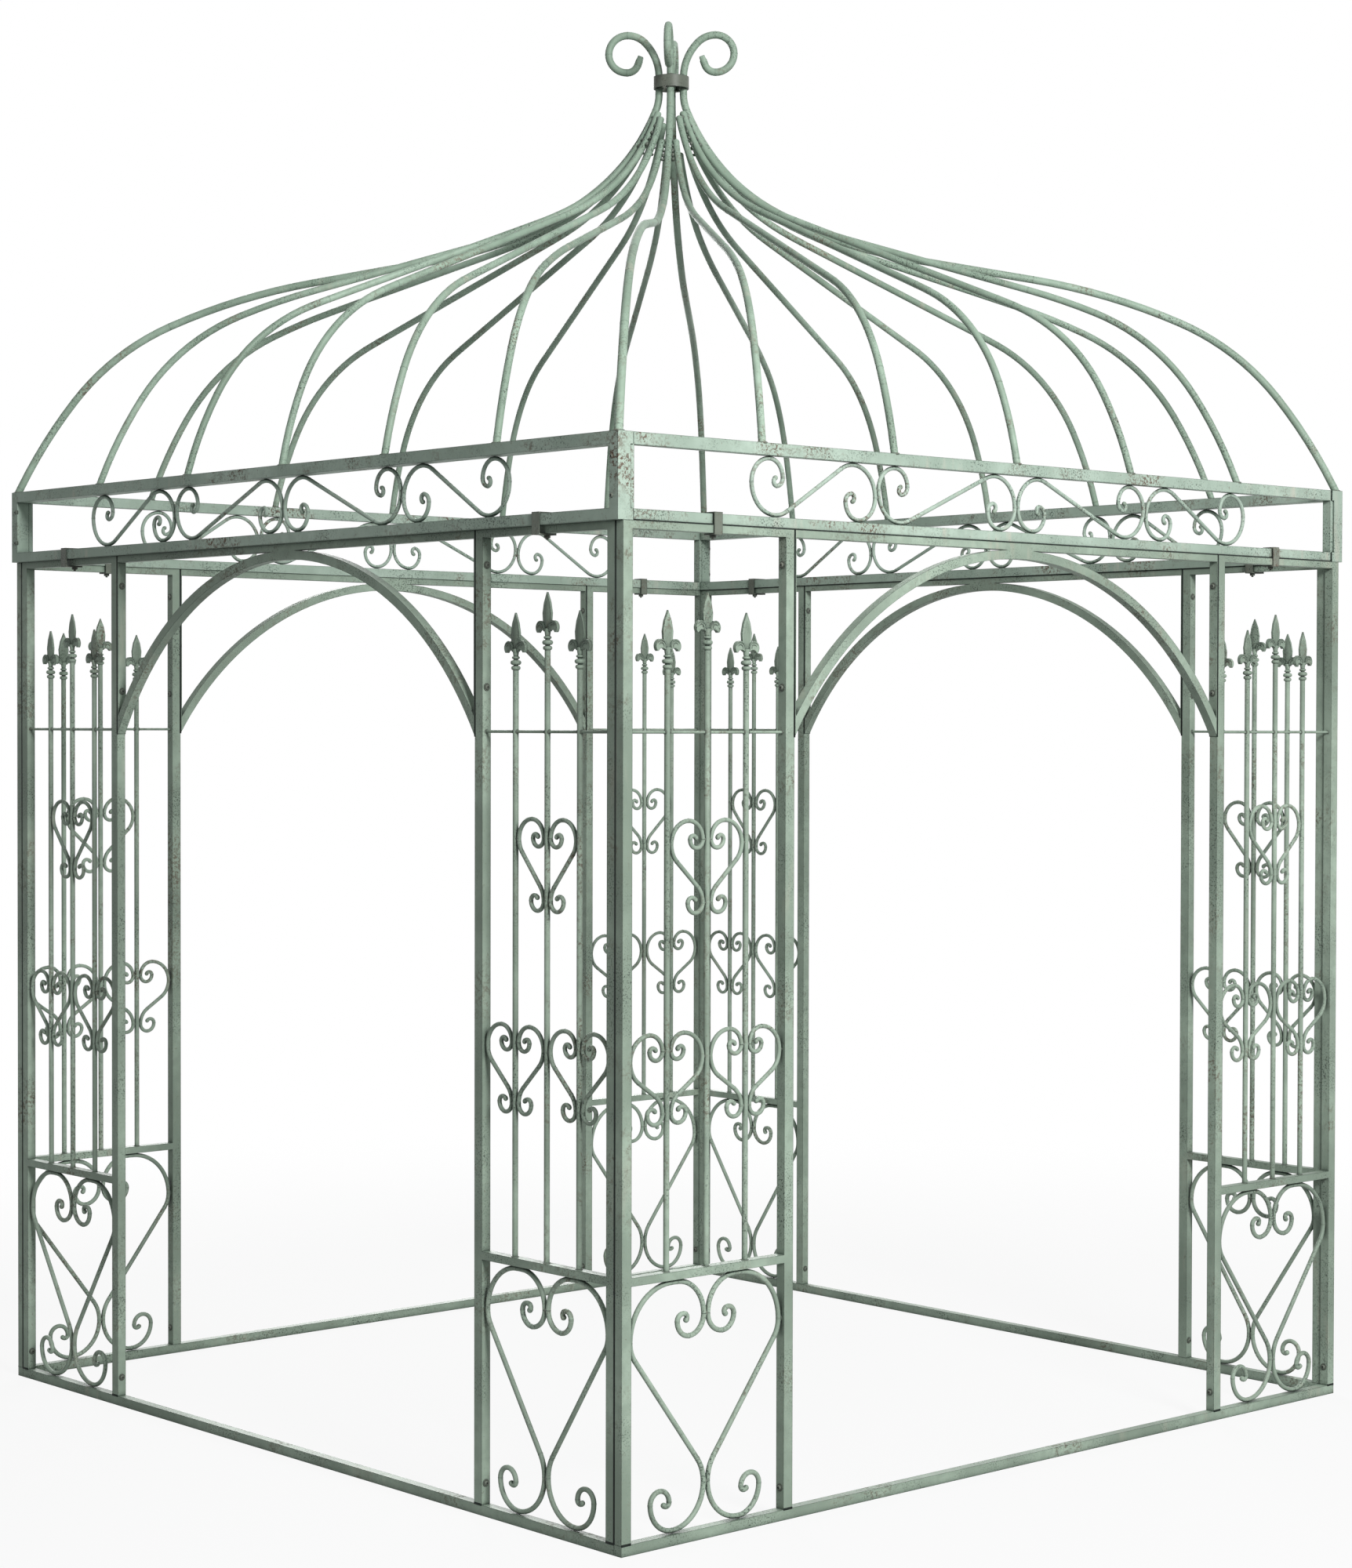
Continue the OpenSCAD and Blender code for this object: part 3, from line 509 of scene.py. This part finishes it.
# A chain of bends is [radius, sweep in degrees]; a positive radius turns left, 0 runs
# straight. The state is (x, z, heading): on a bend x += r (sin e - sin h), z -= r (cos e - cos h).
def afterBends(x, z, heading, chain):
    for r, sweep in chain:
        if r == 0:
            x, z = x + sweep * math.cos(math.radians(heading)), z + sweep * math.sin(math.radians(heading))
        else:
            e = heading + math.copysign(sweep, r)
            x += r * (math.sin(math.radians(e)) - math.sin(math.radians(heading)))
            z -= r * (math.cos(math.radians(e)) - math.cos(math.radians(heading)))
            heading = e
    return x, z, heading


heartSettings = {
    "upper": {"top": 1.4425, "drop": 0.169, "lobe": 0.038, "gap": 0.0065, "wire": 0.009,
              "curl": [(0.017, 180), (0.008, 150)], "foot": [(0.020, 180), (0.011, 140)]},
    "lower": {"top": 1.0215, "drop": 0.1625, "lobe": 0.034, "gap": 0.0065, "wire": 0.009,
              "curl": [(0.017, 180), (0.008, 150)], "foot": [(0.020, 180), (0.011, 140)]},
    "big": {"top": 0.5280, "drop": 0.5280 - 0.11205, "lobe": 0.072, "gap": 0.00025, "wire": 0.0105,
            "ridge": 0.016,
            "curl": [(0.040, 90), (0.031, 90), (0.015, 120), (0.007, 110)],
            "foot": [(0.084, 90), (0.058, 90), (0.025, 180), (0.008, 140)]},
}


# both free ends on the right half of a heart; its left half mirrors them
def heartEnds(s):
    weldX = s["gap"] + s["wire"] / 2
    curl = afterBends(weldX, s["top"] - s["lobe"] - s["wire"] / 2, -90, s["curl"])
    foot = afterBends(weldX, s["top"] - s["drop"], -90, s["foot"])
    return [curl, foot]


tipSettings = {"swell": 1.16, "length": 0.006, "rows": 7}


# a rounded, slightly swollen end: radius = swell * r * cos of the way to the tip
def tipProfile(s):
    t = np.linspace(0, math.pi / 2, s["rows"])
    return np.array([(0.0, -0.004), (1.0, -0.004), (s["swell"], 0.0)]
                    + [(s["swell"] * math.cos(v), s["length"] * math.sin(v)) for v in t[1:]])


tipGroups = {}


def addTip(side, x, y, z, heading, radius):
    origin, along, _, _ = wallFrames[side]
    axis = along * math.cos(math.radians(heading)) + Vector((0, 0, 1)) * math.sin(math.radians(heading))
    tipGroups.setdefault(radius, []).append((onWall(side, x, y, z), tuple(axis)))


for side, start, width in bays:
    rods, gap, pitch = rodsOf(start, width)
    hearts = [("upper", rods[1][0]), ("lower", rods[0][0]), ("lower", rods[2][0]), ("big", rods[1][0])]
    for kind, middle in hearts:
        s = heartSettings[kind]
        for x, z, heading in heartEnds(s):
            addTip(side, middle + x, rodDepth, z, heading, s["wire"] / 2)
            addTip(side, middle - x, rodDepth, z, 180 - heading, s["wire"] / 2)

scrollSettings = {"bow": 0.57, "loop": [(-0.038, 90), (-0.017, 90), (-0.0085, 150)]}
scrollClear = ringTop - ringBottom - ringSizes["topRail"] - ringSizes["lowRail"]
scrollHeight = scrollClear - wallSizes["wire"] - 2 * wallSizes["weldGap"]
scrollBow = scrollSettings["bow"] * scrollHeight
scrollMiddle = ringBottom + ringSizes["lowRail"] + scrollClear / 2


# the crossing's heading and both ends of an S-scroll of a length, about its own middle
def scrollEnds(length):
    bowX = length / 2 - wallSizes["wire"] / 2 - scrollBow
    drop = scrollBow - scrollHeight / 2
    reach = math.hypot(2 * bowX, 2 * drop)
    way = math.degrees(math.atan2(-2 * drop, 2 * bowX) + math.asin(2 * scrollBow / reach))
    run = math.sqrt(reach ** 2 - 4 * scrollBow ** 2)
    tipX, tipZ = run / 2 * math.cos(math.radians(way)), run / 2 * math.sin(math.radians(way))
    loop = [(-scrollBow, way + 90), (-(scrollHeight - scrollBow), 90)] + scrollSettings["loop"]
    return [afterBends(-tipX, -tipZ, way, [(0, run)] + loop), afterBends(-tipX, -tipZ, way + 180, loop)]


innerDepth = ringSizes["setback"] + rodDepth
outerDepth = ringSizes["postDepth"] / 2 - ringProud
scrollDepths = {"front": innerDepth, "back": innerDepth, "left": outerDepth, "right": outerDepth}
for side, (origin, along, inward, length) in wallFrames.items():
    inner, outer = ringSizes["innerScroll"], ringSizes["outerScroll"]
    depth, radius = scrollDepths[side], wallSizes["wire"] / 2
    for reach, centre in ((inner, inner / 2), (outer, inner + outer / 2)):
        for x, z, heading in scrollEnds(reach - wallSizes["weldGap"]):
            addTip(side, length / 2 - centre + x, depth, scrollMiddle + z, heading, radius)
            addTip(side, length / 2 + centre - x, depth, scrollMiddle + z, 180 - heading, radius)
tipGrids = []
for radius, places in tipGroups.items():
    centres, axes = (np.array(v, float) for v in zip(*places))
    profile = tipProfile(tipSettings) * np.array([radius, 1.0])
    tipGrids.append(turned(centres, axes, profile, 14))
makePiece("wireTips", *joinGrids(tipGrids), framePaint, 60)


# weld beads and lumps
weldSettings = {"rodBead": 0.0016, "footBead": 0.0022, "tieBead": 0.0015, "collarBead": 0.0022,
                "wireLump": (0.0030, 0.0042, 0.0036), "railLump": (0.0045, 0.0040, 0.0022),
                "heartLump": (0.0032, 0.0050, 0.0060), "sideLump": (0.0030, 0.0045, 0.0070),
                "scrollLump": (0.0034, 0.0046, 0.0048), "ringGrip": 0.0004, "footGrip": 0.001,
                "collarGrip": 0.0006, "neckLump": (0.0034, 0.0058)}
lumpCentres, lumpSizes = [], []


# sizes: along the wall, through it and up
def addLump(side, x, y, z, sizes):
    lumpCentres.append(onWall(side, x, y, z))
    alongX = side in ("front", "back")
    lumpSizes.append(sizes if alongX else (sizes[1], sizes[0], sizes[2]))


ringGroups = []


def addRings(places, axis, ringRadius, bead):
    places = np.array(places, float)
    ringGroups.append(ringBeads(places, np.tile(np.array(axis, float), (len(places), 1)), ringRadius, bead))


rodFeet, tieRings = [], {"x": [], "y": []}
for side, start, width in bays:
    rods, gap, pitch = rodsOf(start, width)
    face = wallSizes["tubeFace"]
    wallTies = tieRings["x" if side in ("front", "back") else "y"]
    for x, k in rods:
        rodFeet.append(onWall(side, x, rodDepth, wallSizes["midTop"]))
        for sign in (-1, 1):
            wallTies.append(onWall(side, x + sign * wallSizes["rod"] / 2, rodDepth, wallSizes["tieHeight"]))
    for x in (start + face, start + width - face):
        wallTies.append(onWall(side, x, rodDepth, wallSizes["tieHeight"]))
    halfLower, halfUpper = gap / 2, pitch - wallSizes["rod"] / 2
    for kind, middle, half in (("upper", rods[1][0], halfUpper), ("lower", rods[0][0], halfLower),
                               ("lower", rods[2][0], halfLower)):
        s = heartSettings[kind]
        reach = wallSizes["rod"] / 2 + wallSizes["weldGap"] / 2
        lobeTop = s["top"] - s["lobe"] - s["wire"] / 2
        wide = lobeTop + s["lobe"] - (half - wallSizes["weldGap"] - s["gap"] - s["wire"] - s["lobe"])
        for sign in (-1, 1):
            addLump(side, middle + sign * reach, rodDepth, lobeTop, weldSettings["wireLump"])
            addLump(side, middle + sign * reach, rodDepth, s["top"] - s["drop"], weldSettings["wireLump"])
            addLump(side, middle + sign * half, rodDepth, wide, weldSettings["wireLump"])
    s = heartSettings["big"]
    addLump(side, rods[1][0], rodDepth, s["top"] - s["lobe"] - s["wire"] / 2, weldSettings["heartLump"])
    addLump(side, rods[1][0], rodDepth, s["top"] - s["drop"], weldSettings["heartLump"])
    for sign in (-1, 1):
        addLump(side, rods[1][0] + sign * (s["gap"] + s["wire"] / 2 + s["lobe"]), rodDepth,
                wallSizes["midLow"], weldSettings["railLump"])
        edge = width / 2 - face
        sideRadius = edge - wallSizes["weldGap"] - s["gap"] - s["wire"] - s["lobe"] - s["ridge"]
        addLump(side, rods[1][0] + sign * edge, rodDepth, s["top"] - s["wire"] / 2 - sideRadius,
                weldSettings["sideLump"])
for side, (origin, along, inward, length) in wallFrames.items():
    inner, outer = ringSizes["innerScroll"], ringSizes["outerScroll"]
    drop = scrollBow - scrollHeight / 2
    depth = scrollDepths[side]
    for x, z in ((0, -drop), (-inner, -drop), (-inner, drop), (inner, -drop), (inner, drop)):
        addLump(side, length / 2 + x, depth, scrollMiddle + z, weldSettings["scrollLump"])
    for centre, reach in ((inner / 2, inner / 2), (inner + outer / 2, outer / 2)):
        bow = reach - wallSizes["wire"] / 2 - wallSizes["weldGap"] / 2 - scrollBow
        for sign in (-1, 1):
            addLump(side, length / 2 + sign * (centre + bow), depth,
                    ringBottom + ringSizes["lowRail"], weldSettings["railLump"])
            addLump(side, length / 2 + sign * (centre - bow), depth,
                    ringTop - ringSizes["topRail"], weldSettings["railLump"])


ribSettings = {"cornerRib": 0.018, "rib": 0.016, "footInset": 0.012, "neckEnd": 0.044, "crownRadius": 0.030,
               "collarBend": 0.105, "throat": 0.522, "throatLean": 22.2, "collarRise": 0.013,
               "lumps": 5, "lumpStep": 0.010, "lumpRise": 0.004,
               "endProfile": ((0.0, -0.006), (0.0080, -0.006), (0.0087, -0.001), (0.0084, 0.0025),
                              (0.0068, 0.0052), (0.0040, 0.0068), (0.0, 0.0074))}
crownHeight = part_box("crown_collar")[0].z - ribSettings["collarRise"]
footX = halfX + ringProud - ribSettings["footInset"]
footY = halfY - ribSettings["footInset"]
cornerFeet = [(sx * footX, sy * footY, ringTop) for sx in (-1, 1) for sy in (-1, 1)]
middleFeet = [(footX * k / 3, sy * footY, ringTop) for k in range(-2, 3) for sy in (-1, 1)]
middleFeet += [(sx * footX, footY * k / 3, ringTop) for k in range(-2, 3) for sx in (-1, 1)]


# the point of the dome's neck at a distance r from the axis, and its lean from upright;
# the neck is two arcs, so lean = acos((arc centre - r) / arc radius)
def neckPoint(r, s=ribSettings):
    lean = math.radians(s["throatLean"])
    bendX = s["crownRadius"] + s["collarBend"]
    centreX = bendX - (s["collarBend"] - s["throat"]) * math.cos(lean)
    centreZ = crownHeight - (s["collarBend"] - s["throat"]) * math.sin(lean)
    if r > centreX - s["throat"] * math.cos(lean):
        here = math.acos((centreX - r) / s["throat"])
        return centreZ - s["throat"] * math.sin(here), here
    here = math.acos(min(1, 1 - (r - s["crownRadius"]) / s["collarBend"]))
    return crownHeight - s["collarBend"] * math.sin(here), here


# how far from the axis two ribs that stand an angle apart meet
def meetingRadius(d1, d2, angle):
    return (d1 + d2 + 2 * wallSizes["seam"]) / (4 * math.sin(angle / 2))


# rough rounded ends of the middle ribs, with lumps of weld where they lie together
ribTips, neckLumps = [], []
for turn, along, out in ((-90, footX, footY), (90, footX, footY), (180, footY, footX), (0, footY, footX)):
    angles = [math.atan2(along * k / 3, out) for k in range(4)]
    ends = [ribSettings["neckEnd"], meetingRadius(ribSettings["rib"], ribSettings["rib"], angles[1]),
            meetingRadius(ribSettings["cornerRib"], ribSettings["rib"], angles[3] - angles[2])]
    for k in range(-2, 3):
        angle = math.radians(turn) + math.copysign(angles[abs(k)], k)
        z, lean = neckPoint(ends[abs(k)])
        outward = np.array([math.cos(angle), math.sin(angle), 0])
        heading = -math.sin(lean) * outward + np.array([0, 0, math.cos(lean)])
        ribTips.append((ends[abs(k)] * outward + np.array([0, 0, z]), heading))
    for near, far, first in ((0, 1, ends[1]), (2, 3, ends[2])):
        for sign in (-1, 1):
            for step in range(ribSettings["lumps"]):
                r = first + step * ribSettings["lumpStep"]
                z, _ = neckPoint(r)
                angle = math.radians(turn) + sign * (angles[near] + angles[far]) / 2
                neckLumps.append((r * math.cos(angle), r * math.sin(angle), z + ribSettings["lumpRise"]))
tipCentres, tipAxes = (np.array(v, float) for v in zip(*ribTips))
endProfile = np.array(ribSettings["endProfile"])
makePiece("ribEnds", *turned(tipCentres, tipAxes, endProfile, 16), domePaint, 60)

neckSizes = rng.uniform(*weldSettings["neckLump"], (len(neckLumps), 3))
weldedPlaces = np.concatenate([np.array(lumpCentres), np.array(neckLumps)])
weldedSizes = np.concatenate([np.array(lumpSizes), neckSizes])
addRings(rodFeet, (0, 0, 1), wallSizes["rod"] / 2 + weldSettings["ringGrip"], weldSettings["rodBead"])
addRings(tieRings["x"], (1, 0, 0), wallSizes["tie"] / 2 + weldSettings["ringGrip"], weldSettings["tieBead"])
addRings(tieRings["y"], (0, 1, 0), wallSizes["tie"] / 2 + weldSettings["ringGrip"], weldSettings["tieBead"])
addRings(cornerFeet, (0, 0, 1), ribSettings["cornerRib"] / 2 + weldSettings["footGrip"],
         weldSettings["footBead"])
addRings(middleFeet, (0, 0, 1), ribSettings["rib"] / 2 + weldSettings["footGrip"], weldSettings["footBead"])
reach = ribSettings["crownRadius"]
for height in (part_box("crown_collar")[0].z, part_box("crown_collar")[1].z):
    collarPlaces = []
    for sx in (-1, 1):
        for sy in (-1, 1):
            angle = math.atan2(sy * footY, sx * footX)
            collarPlaces.append((reach * math.cos(angle), reach * math.sin(angle), height))
    addRings(collarPlaces, (0, 0, 1), ribSettings["cornerRib"] / 2 + weldSettings["collarGrip"],
             weldSettings["collarBead"])
makePiece("welds", *joinGrids(ringGroups + [weldLumps(weldedPlaces, weldedSizes)]), weldPaint, 180)


crownSettings = {"bends": [(-0.120, 45), (-0.060, 45), (-0.046, 90), (-0.045, 90), (-0.028, 70), (0, 0.012)],
                 "lead": 0.008, "length": 0.009, "halfWidth": 0.0100, "halfThick": 0.0070, "round": 0.0091,
                 "flattenBy": 0.008, "squareness": 0.66, "cap": 0.0006, "capShare": 0.93,
                 "rows": 12, "around": 20}


# the hammered flat end of each crown scroll: across it x = w sgn(cos a) |cos a|^e and
# y = h sgn(sin a) |sin a|^e, with w, h and e easing from the round bar to the flat strap
def crownTips(s):
    last = s["length"] + s["cap"]
    d = np.concatenate([[-s["lead"]], np.linspace(-s["lead"], s["length"], s["rows"]), [last, last]])
    t = np.clip((d + s["lead"]) / (s["lead"] + s["flattenBy"]), 0, 1)
    ease = t * t * (3 - 2 * t)
    w = s["round"] + (s["halfWidth"] - s["round"]) * ease
    h = s["round"] + (s["halfThick"] - s["round"]) * ease
    power = 1 - s["squareness"] * ease
    close = np.ones(len(d))
    close[0] = close[-1] = 0
    close[-2] = s["capShare"]
    a = np.linspace(0, 2 * math.pi, s["around"], endpoint=False)
    cosA, sinA = np.cos(a)[None], np.sin(a)[None]
    across = (close * w)[:, None] * np.sign(cosA) * np.abs(cosA) ** power[:, None]
    through = (close * h)[:, None] * np.sign(sinA) * np.abs(sinA) ** power[:, None]
    x, z, heading = afterBends(ribSettings["crownRadius"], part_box("crown_collar")[1].z, 90, s["bends"])
    heading = math.radians(heading)
    grids = []
    for sx in (-1, 1):
        for sy in (-1, 1):
            angle = math.atan2(sy * footY, sx * footX)
            out, up = np.array([math.cos(angle), math.sin(angle), 0]), np.array([0, 0, 1.0])
            ahead = math.cos(heading) * out + math.sin(heading) * up
            above, beside = -math.sin(heading) * out + math.cos(heading) * up, np.cross(out, up)
            grids.append(x * out + z * up + d[:, None, None] * ahead
                         + across[..., None] * beside + through[..., None] * above)
    return np.stack(grids), gridFaces(4, len(d), len(a))


makePiece("scrollTips", *crownTips(crownSettings), domePaint, 40)


spearSettings = {"rows": 15, "around": 16, "ridge": 0.0046, "vein": 0.0013, "span": (-0.001, -0.079),
                 "tip": 0.0002, "widest": 0.0135, "thinnest": 0.15, "bulge": 0.6, "veinDepth": 0.004,
                 "veinTurn": (205, 20), "veinSteps": 13, "veinRadii": (0.0115, 0.0068),
                 "leafCentre": (0.019, 0.0445),
                 "edge": ((0, 0), (-0.007, 0.0030), (-0.021, 0.0092), (-0.042, 0.0135),
                          (-0.060, 0.0119), (-0.080, 0.0040))}


# a blade thick along its middle: x = w(h) cos a, y = ridge * sin a * |sin a|^bulge
def bladeGrid(x, z, side, s):
    heights = np.linspace(*s["span"], s["rows"])
    edge = np.array(s["edge"])
    width = np.interp(-heights, -edge[:, 0], edge[:, 1])
    width[0] = s["tip"]
    a = np.linspace(0, 2 * math.pi, s["around"], endpoint=False)
    thick = s["ridge"] * np.clip(width / s["widest"], s["thinnest"], 1)
    across = width[:, None] * np.cos(a)[None]
    through = thick[:, None] * (np.sin(a) * np.abs(np.sin(a)) ** s["bulge"])[None]
    origin, along, inward, _ = wallFrames[side]
    base = np.array(onWall(side, x, rodDepth, z + wallSizes["spearLength"]))
    return (base + across[..., None] * np.array(along) + through[..., None] * np.array(inward)
            + heights[:, None, None] * np.array([0, 0, 1.0]))


bladeGrids, veinPaths, veinSides = [], [], []
veinAngles = np.radians(np.linspace(*spearSettings["veinTurn"], spearSettings["veinSteps"]))
leafX, leafZ = spearSettings["leafCentre"]
for side, start, width in bays:
    origin, along, inward, _ = wallFrames[side]
    for x, k in rodsOf(start, width)[0]:
        base = wallSizes["spearHeight"] + (wallSizes["spearLead"] if k == 0 else 0)
        bladeGrids.append(bladeGrid(x, base, side, spearSettings))
        for sign in (-1, 1):
            for depth in (rodDepth - spearSettings["veinDepth"], rodDepth + spearSettings["veinDepth"]):
                for radius in spearSettings["veinRadii"]:
                    arcX = sign * (leafX + radius * np.cos(veinAngles))
                    arcZ = leafZ + radius * np.sin(veinAngles)
                    foot = np.array(onWall(side, x, depth, base))
                    veinPaths.append(foot + arcX[:, None] * np.array(along)
                                     + arcZ[:, None] * np.array([0, 0, 1.0]))
                    veinSides.append(tuple(inward))
blades = (np.stack(bladeGrids), gridFaces(len(bladeGrids), spearSettings["rows"], spearSettings["around"]))
taper = spearSettings["vein"] * np.sin(np.linspace(0.25, math.pi - 0.25, len(veinAngles)))[None]
veins = tubesAlong(np.stack(veinPaths), veinSides, np.repeat(taper, len(veinPaths), 0), 6)
makePiece("spearRelief", *joinGrids([blades, veins]), castPaint, 45)


cameraSettings = {"lens": 72.24, "place": (-5.1597, -5.7751, 1.6296),
                  "yaw": 41.893, "pitch": -1.087, "roll": 0.127}


def addCamera(s):
    yaw, pitch, roll = (math.radians(s[k]) for k in ("yaw", "pitch", "roll"))
    ahead = Vector((math.sin(yaw) * math.cos(pitch), math.cos(yaw) * math.cos(pitch), math.sin(pitch)))
    right = Vector((math.cos(yaw), -math.sin(yaw), 0))
    up = right.cross(ahead)
    right, up = right * math.cos(roll) + up * math.sin(roll), up * math.cos(roll) - right * math.sin(roll)
    data = bpy.data.cameras.new("camera")
    data.lens = s["lens"]
    data.sensor_width = 36
    data.clip_end = 200
    camera = bpy.data.objects.new("camera", data)
    turn = Matrix((right, up, -ahead)).transposed().to_4x4()
    camera.matrix_world = Matrix.Translation(s["place"]) @ turn
    bpy.context.scene.collection.objects.link(camera)
    bpy.context.scene.camera = camera


addCamera(cameraSettings)

lightSettings = [
    {"name": "keyLight", "place": (-2.0, -8.3, 5.5), "aim": (0, 0, 1.4), "size": 2.8, "power": 880},
    {"name": "fillLight", "place": (-8.5, -1.5, 3.5), "aim": (0, 0, 1.4), "size": 4.0, "power": 30},
    {"name": "backLight", "place": (5.5, 8.0, 4.5), "aim": (0, 0, 1.4), "size": 5.0, "power": 620},
]
for s in lightSettings:
    data = bpy.data.lights.new(s["name"], "AREA")
    data.shape = "DISK"
    data.size = s["size"]
    data.energy = s["power"]
    lamp = bpy.data.objects.new(s["name"], data)
    lamp.location = s["place"]
    lamp.rotation_euler = (Vector(s["aim"]) - Vector(s["place"])).to_track_quat("-Z", "Y").to_euler()
    bpy.context.scene.collection.objects.link(lamp)

world = bpy.data.worlds.new("studio")
bpy.context.scene.world = world
world.use_nodes = True
nodes, links = world.node_tree.nodes, world.node_tree.links
nodes.clear()
worldOut = nodes.new("ShaderNodeOutputWorld")
ray = nodes.new("ShaderNodeLightPath")
seen = nodes.new("ShaderNodeMath")
seen.operation = "MAXIMUM"
seenToo = nodes.new("ShaderNodeMath")
seenToo.operation = "MAXIMUM"
links.new(ray.outputs["Is Camera Ray"], seen.inputs[0])
links.new(ray.outputs["Is Glossy Ray"], seen.inputs[1])
links.new(seen.outputs[0], seenToo.inputs[0])
links.new(ray.outputs["Is Transmission Ray"], seenToo.inputs[1])
white = nodes.new("ShaderNodeBackground")
white.inputs["Color"].default_value = (1, 1, 1, 1)
white.inputs["Strength"].default_value = 1.0
glow = nodes.new("ShaderNodeBackground")
glow.inputs["Color"].default_value = (0.93, 0.97, 1.0, 1)
glow.inputs["Strength"].default_value = 0.13
blend = nodes.new("ShaderNodeMixShader")
links.new(seenToo.outputs[0], blend.inputs["Fac"])
links.new(glow.outputs[0], blend.inputs[1])
links.new(white.outputs[0], blend.inputs[2])
links.new(blend.outputs[0], worldOut.inputs["Surface"])


# a round floor that fades into the background: see-through grows with the distance
def addFloor(radius, fadeStart, fadeEnd):
    mesh = bpy.data.meshes.new("floor")
    a = np.linspace(0, 2 * math.pi, 96, endpoint=False)
    ring = np.stack([radius * np.cos(a), radius * np.sin(a), np.full(96, -0.0004)], -1)
    mesh.from_pydata(ring.tolist(), [], [list(range(96))])
    floor = bpy.data.objects.new("floor", mesh)
    bpy.context.scene.collection.objects.link(floor)
    material = bpy.data.materials.new("paleFloor")
    material.use_nodes = True
    nodes, links = material.node_tree.nodes, material.node_tree.links
    nodes.clear()
    output = nodes.new("ShaderNodeOutputMaterial")
    matt = nodes.new("ShaderNodeBsdfDiffuse")
    matt.inputs["Color"].default_value = (0.62, 0.62, 0.62, 1)
    # the floor looks near white while it throws little light back up
    bright = nodes.new("ShaderNodeEmission")
    seen = nodes.new("ShaderNodeLightPath")
    share = nodes.new("ShaderNodeMath")
    share.operation = "MULTIPLY"
    share.inputs[1].default_value = 0.90
    lift = nodes.new("ShaderNodeMixShader")
    links.new(seen.outputs["Is Camera Ray"], share.inputs[0])
    links.new(share.outputs[0], lift.inputs["Fac"])
    links.new(matt.outputs[0], lift.inputs[1])
    links.new(bright.outputs[0], lift.inputs[2])
    clear = nodes.new("ShaderNodeBsdfTransparent")
    place = nodes.new("ShaderNodeTexCoord")
    length = nodes.new("ShaderNodeVectorMath")
    length.operation = "LENGTH"
    fade = nodes.new("ShaderNodeMapRange")
    fade.interpolation_type = "SMOOTHSTEP"
    fade.inputs["From Min"].default_value = fadeStart
    fade.inputs["From Max"].default_value = fadeEnd
    blend = nodes.new("ShaderNodeMixShader")
    links.new(place.outputs["Object"], length.inputs[0])
    links.new(length.outputs["Value"], fade.inputs["Value"])
    links.new(fade.outputs["Result"], blend.inputs["Fac"])
    links.new(lift.outputs[0], blend.inputs[1])
    links.new(clear.outputs[0], blend.inputs[2])
    links.new(blend.outputs[0], output.inputs["Surface"])
    mesh.materials.append(material)
    floor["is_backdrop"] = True


addFloor(14, 1.8, 5.0)
bpy.context.scene.view_settings.view_transform = "Standard"
print("studio set up")

low, high = [list(v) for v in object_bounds()]
